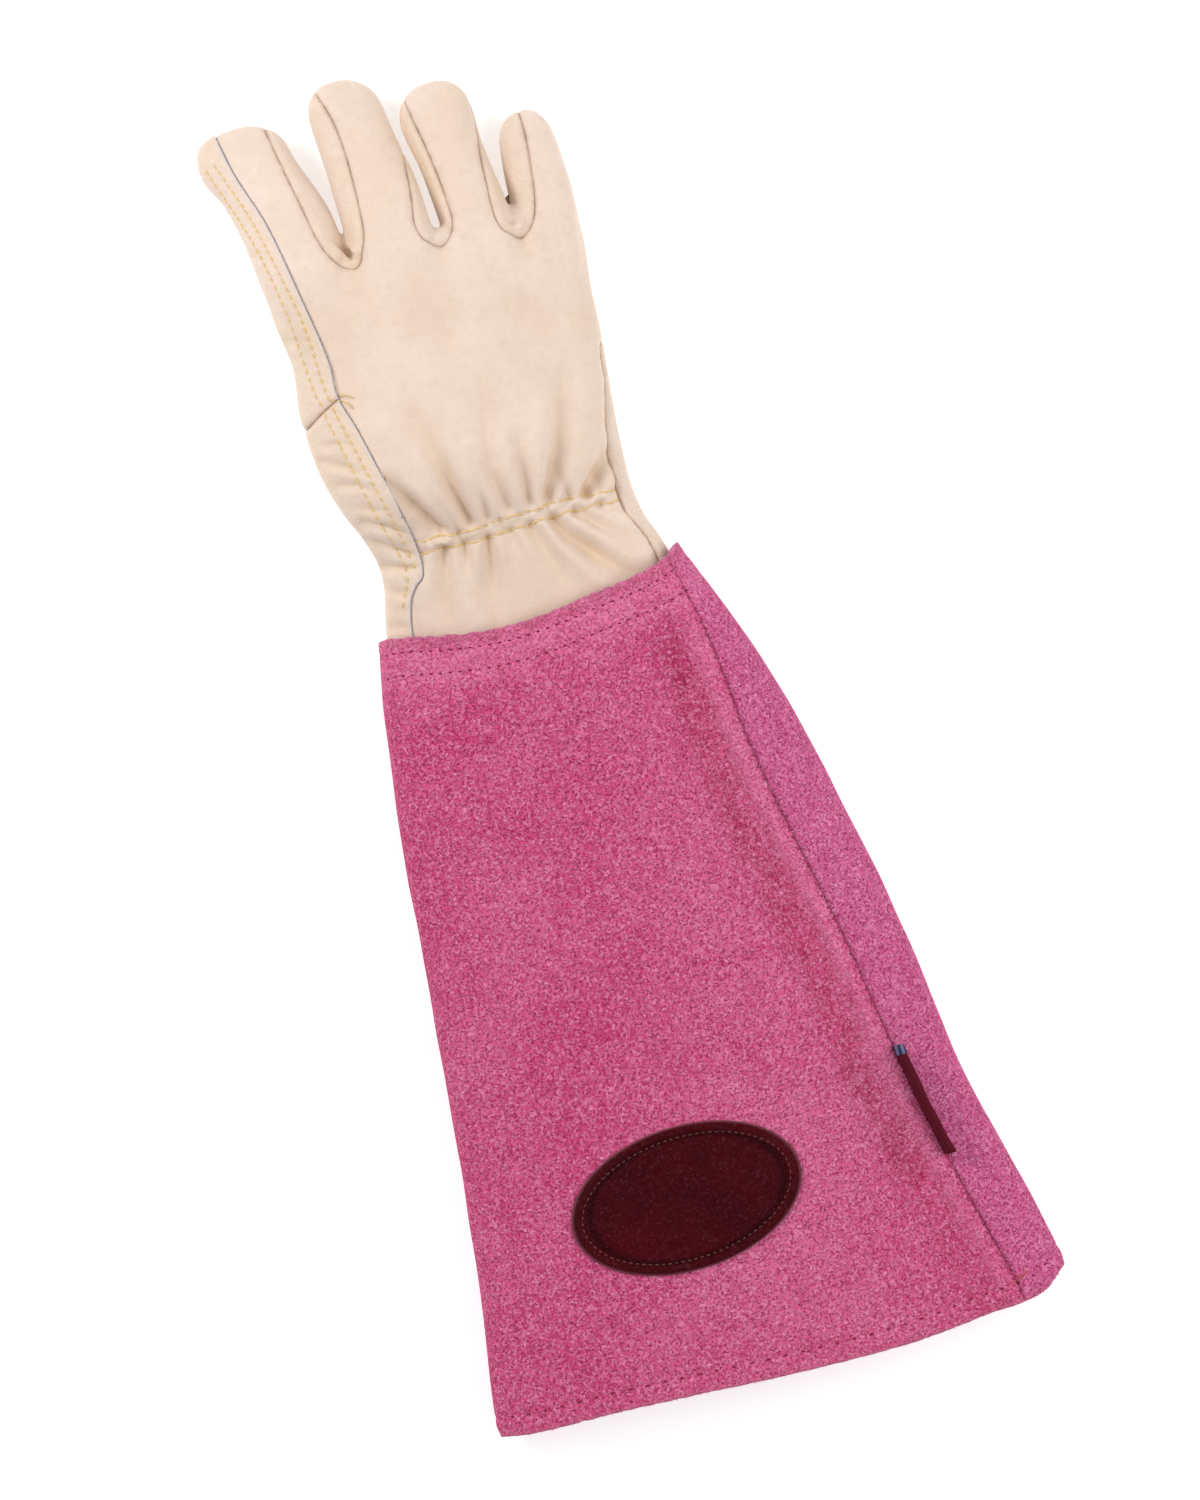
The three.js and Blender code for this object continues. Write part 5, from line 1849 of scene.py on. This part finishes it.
class GLOVE_OT_cuff(GloveOperator):
    """Make the suede cuff"""

    bl_idname = "glove.cuff"
    bl_label = "Suede cuff"

    def execute(self, context):
        sizes, colours = self.settings(context)
        piece = cuff_mesh()
        thicken(piece, sizes.suede_wall)
        finish_piece(piece, suede_material(colours), ["cuff_panel"])
        return {"FINISHED"}


class GLOVE_OT_patch(GloveOperator):
    """Make the bare oval leather patch"""

    bl_idname = "glove.patch"
    bl_label = "Oval patch"

    def execute(self, context):
        sizes, colours = self.settings(context)
        ground = Ground([bpy.data.objects["cuff_suede"]])
        wall = sizes.patch_wall / MM
        angle = 2 * np.pi * np.arange(PATCH_SIDES) / PATCH_SIDES
        shares = np.concatenate([np.linspace(0.02, 0.9, 40), np.linspace(0.915, 1.0, 14)])
        points, edges, sewing = [], [], []

        def add(x, y, rise, edge=0.0, sewn=0.0):
            points.append((x, y, ground.height(x, y) + rise))
            edges.append(edge)
            sewing.append(sewn)

        for share in shares:
            from_rim = (1 - share) * PATCH_HALVES[1]
            # The rim mask: the cut edge and painted highlight on its bevel.
            edge = 1 - smoothstep(from_rim, 0.1, 0.7)
            sewn = bell(from_rim - PATCH_SEWN_LINE, 0.8)
            for x, y in oval([half * share for half in PATCH_HALVES], angle):
                add(x, y, self.rise(x, y, from_rim, wall, sewn), edge, sewn)
        add(*PATCH_CENTRE, wall)
        for x, y in oval(PATCH_HALVES, angle):
            add(x, y, -0.2, edge=1.0)
        piece = mesh_object("patch_leather", placed(points), self.faces(len(shares)))
        write_masks(piece, {"edge": edges, "sewn": sewing})
        outward(piece)
        finish_piece(piece, patch_material(colours), ["cuff_patch"])
        return {"FINISHED"}

    def rise(self, x, y, from_rim, wall, sewn):
        """Height over the suede: a bevelled rim, rolls on both sides of the sewing, and lumps."""
        bevel = wall - 0.85 * (1 - min(1, from_rim / 1.5)) ** 2
        roll = 0.22 * bell(from_rim - 2.0, 1.0) + 0.2 * bell(from_rim - 6.5, 2.2)
        lumps = 0.16 * wander(x, y, 7.0, 5.1) + 0.05 * wander(x, y, 2.6, 8.2)
        return bevel + roll - 0.42 * sewn + lumps * min(1, from_rim / 2.0)

    def faces(self, rings):
        """The rings from the middle outwards, a fan in the middle, a skirt and the underside."""
        sides = PATCH_SIDES
        hub = rings * sides
        outer = (rings - 1) * sides
        skirt = hub + 1
        steps = [(s, (s + 1) % sides) for s in range(sides)]
        faces = ring_faces(rings, sides)
        faces += [(hub, after, s) for s, after in steps]
        faces += [(outer + s, outer + after, skirt + after, skirt + s) for s, after in steps]
        faces.append(tuple(skirt + s for s in range(sides)))
        return faces


class GLOVE_OT_tag(GloveOperator):
    """Make the folded ribbon tag in the cuff seam"""

    bl_idname = "glove.tag"
    bl_label = "Ribbon tag"

    def execute(self, context):
        _, colours = self.settings(context)
        body = self.ribbon("tag_ribbon", TAG_FROM - 3.0, TAG_TO, 30, 0.0)
        fold = self.ribbon("tag_fold", TAG_FROM + 0.2, TAG_FROM - 3.2, 6, 0.2)
        # Darker and lighter copies of the ribbon's colour across its ribs: painted shade and painted
        # highlight.
        dark, light = times(colours.ribbon, 0.6), times(colours.ribbon, 1.5)
        body_finish = ribbon_material("Burgundy ribbon", dark, light, "Y", 900.0)
        end_dark, end_light = (0.012, 0.012, 0.035), colours.ribbon_end
        end_finish = ribbon_material("Striped ribbon end", end_dark, end_light, "X", 170.0)
        finish_piece(body, body_finish, ["cuff_tag"])
        finish_piece(fold, end_finish, ())
        return {"FINISHED"}

    def ribbon(self, name, start, end, steps, spread):
        """A loop of ribbon whose fold stands up and leans over the narrow side."""
        ground = Ground([bpy.data.objects["cuff_suede"]])
        points = []
        for y in np.linspace(start, end, steps):
            x = seam_x_at(y)
            foot = ground.height(x - 0.8, y)
            sway = 0.35 * float(wander(np.array(0.0), np.array(y), 9.0, 4.0))
            for side, up in TAG_LOOP:
                out = (side + sway * up / 7) * (1 + spread * 0.3)
                points.append((x + out, y, foot + up * (1 - spread * 0.3)))
        obj = mesh_object(name, placed(points), ring_faces(steps, len(TAG_LOOP), closed=False))
        thicken(obj, RIBBON_WALL, offset=0)
        return made_plain(obj)


class GLOVE_OT_sewing(GloveOperator):
    """Sew the strips, the elastic, the cuff, the patch and the hem"""

    bl_idname = "glove.sewing"
    bl_label = "Stitches"

    def execute(self, context):
        sizes, colours = self.settings(context)
        leather = Ground([bpy.data.objects[node + "_leather"] for node in PANELS])
        suede = Ground([bpy.data.objects["cuff_suede"]])
        patch = Ground([bpy.data.objects["patch_leather"]])
        yellow = thread_material("Yellow thread", colours.yellow_thread, sheen=0.3)
        pink = thread_material("Pink thread", colours.pink_thread)
        orange = thread_material("Orange thread", colours.orange_thread)
        tan = thread_material("Tan thread", colours.tan_thread)
        thread = sizes.thread
        strip = (sizes.stitch_pitch, sizes.stitch_length, thread)
        kinds = {
            name: (pitch, length, thread * share)
            for name, (pitch, length, share) in STITCHES.items()
        }
        strips = [self.row(leather, plan, strip, yellow, seed)
                  for seed, plan in enumerate(STRIP_ROWS.values())]
        strips += [self.loose_end(leather, number, ends, thread, yellow)
                   for number, ends in enumerate(LOOSE_ENDS)]
        elastic = [self.row(leather, self.elastic_plan(name), kinds["elastic"], yellow, seed,
                            smooth=False)
                   for seed, name in enumerate(ELASTIC_ROWS, 20)]
        across = np.linspace(0.02, 0.94, 60)
        cuff = [self.row(suede, self.below_edge(across, drop), kinds["cuff_top"], pink, seed)
                for seed, drop in enumerate(CUFF_TOP_ROWS, 40)]
        hem = self.above_hem(np.linspace(0.03, 0.97, 90))
        down = np.linspace(0.012, 0.985, 120)
        side_seam = np.column_stack([seam_x(down) - 0.5, cuff_plan(CUFF("seam", down), down)[1]])
        cuff.append(self.row(suede, hem, kinds["hem"], pink, 50))
        cuff.append(self.row(suede, HEM_BAR, kinds["hem_bar"], orange, 54))
        cuff.append(self.row(suede, side_seam, kinds["cuff_seam"], pink, 52))
        rim = oval([half - PATCH_SEWN_LINE for half in PATCH_HALVES],
                   np.linspace(0, 2 * np.pi, 180, endpoint=False))
        patch_rows = [self.row(patch, rim, kinds["patch"], tan, 60, closed=True, smooth=False)]
        pieces = {
            "strip_stitches": strips,
            "elastic_stitches": elastic,
            "cuff_stitches": cuff,
            "patch_stitches": patch_rows,
        }
        for name, parts in pieces.items():
            finish_piece(joined(name, parts), None)
        return {"FINISHED"}

    def loose_end(self, ground, number, ends, thread, material):
        """A thread end that stands a little off the leather."""
        curve = Table("at", [{"at": i, "x": x, "y": y, "up": up} for i, (x, y, up) in enumerate(ends)])
        spots = []
        for at in np.linspace(0, len(ends) - 1, 14):
            x, y = float(curve("x", at)), float(curve("y", at))
            spots.append((x, y, ground.height(x, y) + float(curve("up", at))))
        return tube(f"loose_end_{number}", spots, LOOSE_THREAD * thread / MM, material)

    def elastic_plan(self, name):
        """Places along a wavy row of elastic stitches."""
        ends = np.array(ELASTIC_ROWS[name])[:, 0]
        x = np.arange(ends[0], ends[-1], 0.7)
        return np.column_stack([x, elastic_row(name, x)])

    def below_edge(self, across, drop):
        """Places on the cuff, a little below its upper edge."""
        top, hem = cuff_ends(across)
        return np.column_stack(cuff_plan(across, np.full(len(across), drop) / (top - hem)))

    def above_hem(self, across):
        """Places on the cuff, on the sewn row above its hem."""
        top, hem = cuff_ends(across)
        return np.column_stack(cuff_plan(across, (CUFF_HEM_ROW + hem - top) / (hem - top)))

    def row(self, ground, plan, kind, material, seed, closed=False, smooth=True):
        """A row of stitches; kind is its pitch, its stitches' length and its thread's radius."""
        pitch, stitch, thread = kind
        line = seam_curve(plan, 1.0) if smooth else plan
        path = path_object(f"row_{seed}", ground, line, STITCH_LIFT, closed)
        return run_tree(path, stitch_tree(), pitch=pitch, length=stitch, thickness=thread, seed=seed,
                        thread=material)


class GLOVE_OT_fibres(GloveOperator):
    """Let short fibres stand out of the suede's cut edges"""

    bl_idname = "glove.fibres"
    bl_label = "Suede fibres"

    def execute(self, context):
        _, colours = self.settings(context)
        suede = Ground([bpy.data.objects["cuff_suede"]])
        fibre = thread_material("Suede fibre", tuple(colours.suede_fibre), sheen=0.2)
        tree = fibre_tree()
        edges = rows(
            "name down outwards seed",
            ("top", 0.0035, (0.0, 0.85, 0.5), 70),
            ("top_inner", 0.009, (0.0, 0.5, 0.85), 71),
            ("hem", 0.9965, (0.0, -0.85, 0.5), 72),
        )
        parts = []
        for edge in edges:
            across = np.linspace(0.015, 0.985, 160)
            x, y = cuff_plan(across, np.full(len(across), edge["down"]))
            path = path_object("edge_" + edge["name"], suede, np.column_stack([x, y]), -FIBRE_ROOT)
            outwards = np.tile(edge["outwards"], (len(x), 1))
            path.data.attributes["up"].data.foreach_set("vector", outwards.astype(np.float32).ravel())
            parts.append(run_tree(path, tree, seed=edge["seed"], fibre=fibre))
        finish_piece(joined("suede_fibres", parts), None)
        return {"FINISHED"}


class GLOVE_PT_panel(bpy.types.Panel):
    """The glove's pieces and settings"""

    bl_label = "Gardening glove"
    bl_idname = "GLOVE_PT_panel"
    bl_space_type = "VIEW_3D"
    bl_region_type = "UI"
    bl_category = "Glove"

    def draw(self, context):
        layout = self.layout
        for operator in OPERATORS:
            layout.operator(operator.bl_idname)
        for settings in (context.scene.glove_sizes, context.scene.glove_colours):
            box = layout.box()
            for name in settings.__annotations__:
                box.prop(settings, name)


OPERATORS = (GLOVE_OT_stage, GLOVE_OT_hand, GLOVE_OT_thumb, GLOVE_OT_cuff, GLOVE_OT_patch, GLOVE_OT_tag,
             GLOVE_OT_sewing, GLOVE_OT_fibres)
CLASSES = (GloveSizes, GloveColours, *OPERATORS, GLOVE_PT_panel)


def register():
    for cls in CLASSES:
        bpy.utils.register_class(cls)
    bpy.types.Scene.glove_sizes = bpy.props.PointerProperty(type=GloveSizes)
    bpy.types.Scene.glove_colours = bpy.props.PointerProperty(type=GloveColours)


def unregister():
    del bpy.types.Scene.glove_colours
    del bpy.types.Scene.glove_sizes
    for cls in reversed(CLASSES):
        bpy.utils.unregister_class(cls)


def main():
    """Build every piece in order."""
    register()
    bpy.ops.glove.stage()
    bpy.ops.glove.hand()
    bpy.ops.glove.thumb()
    bpy.ops.glove.cuff()
    bpy.ops.glove.patch()
    bpy.ops.glove.tag()
    bpy.ops.glove.sewing()
    bpy.ops.glove.fibres()


if __name__ == "__main__":
    main()
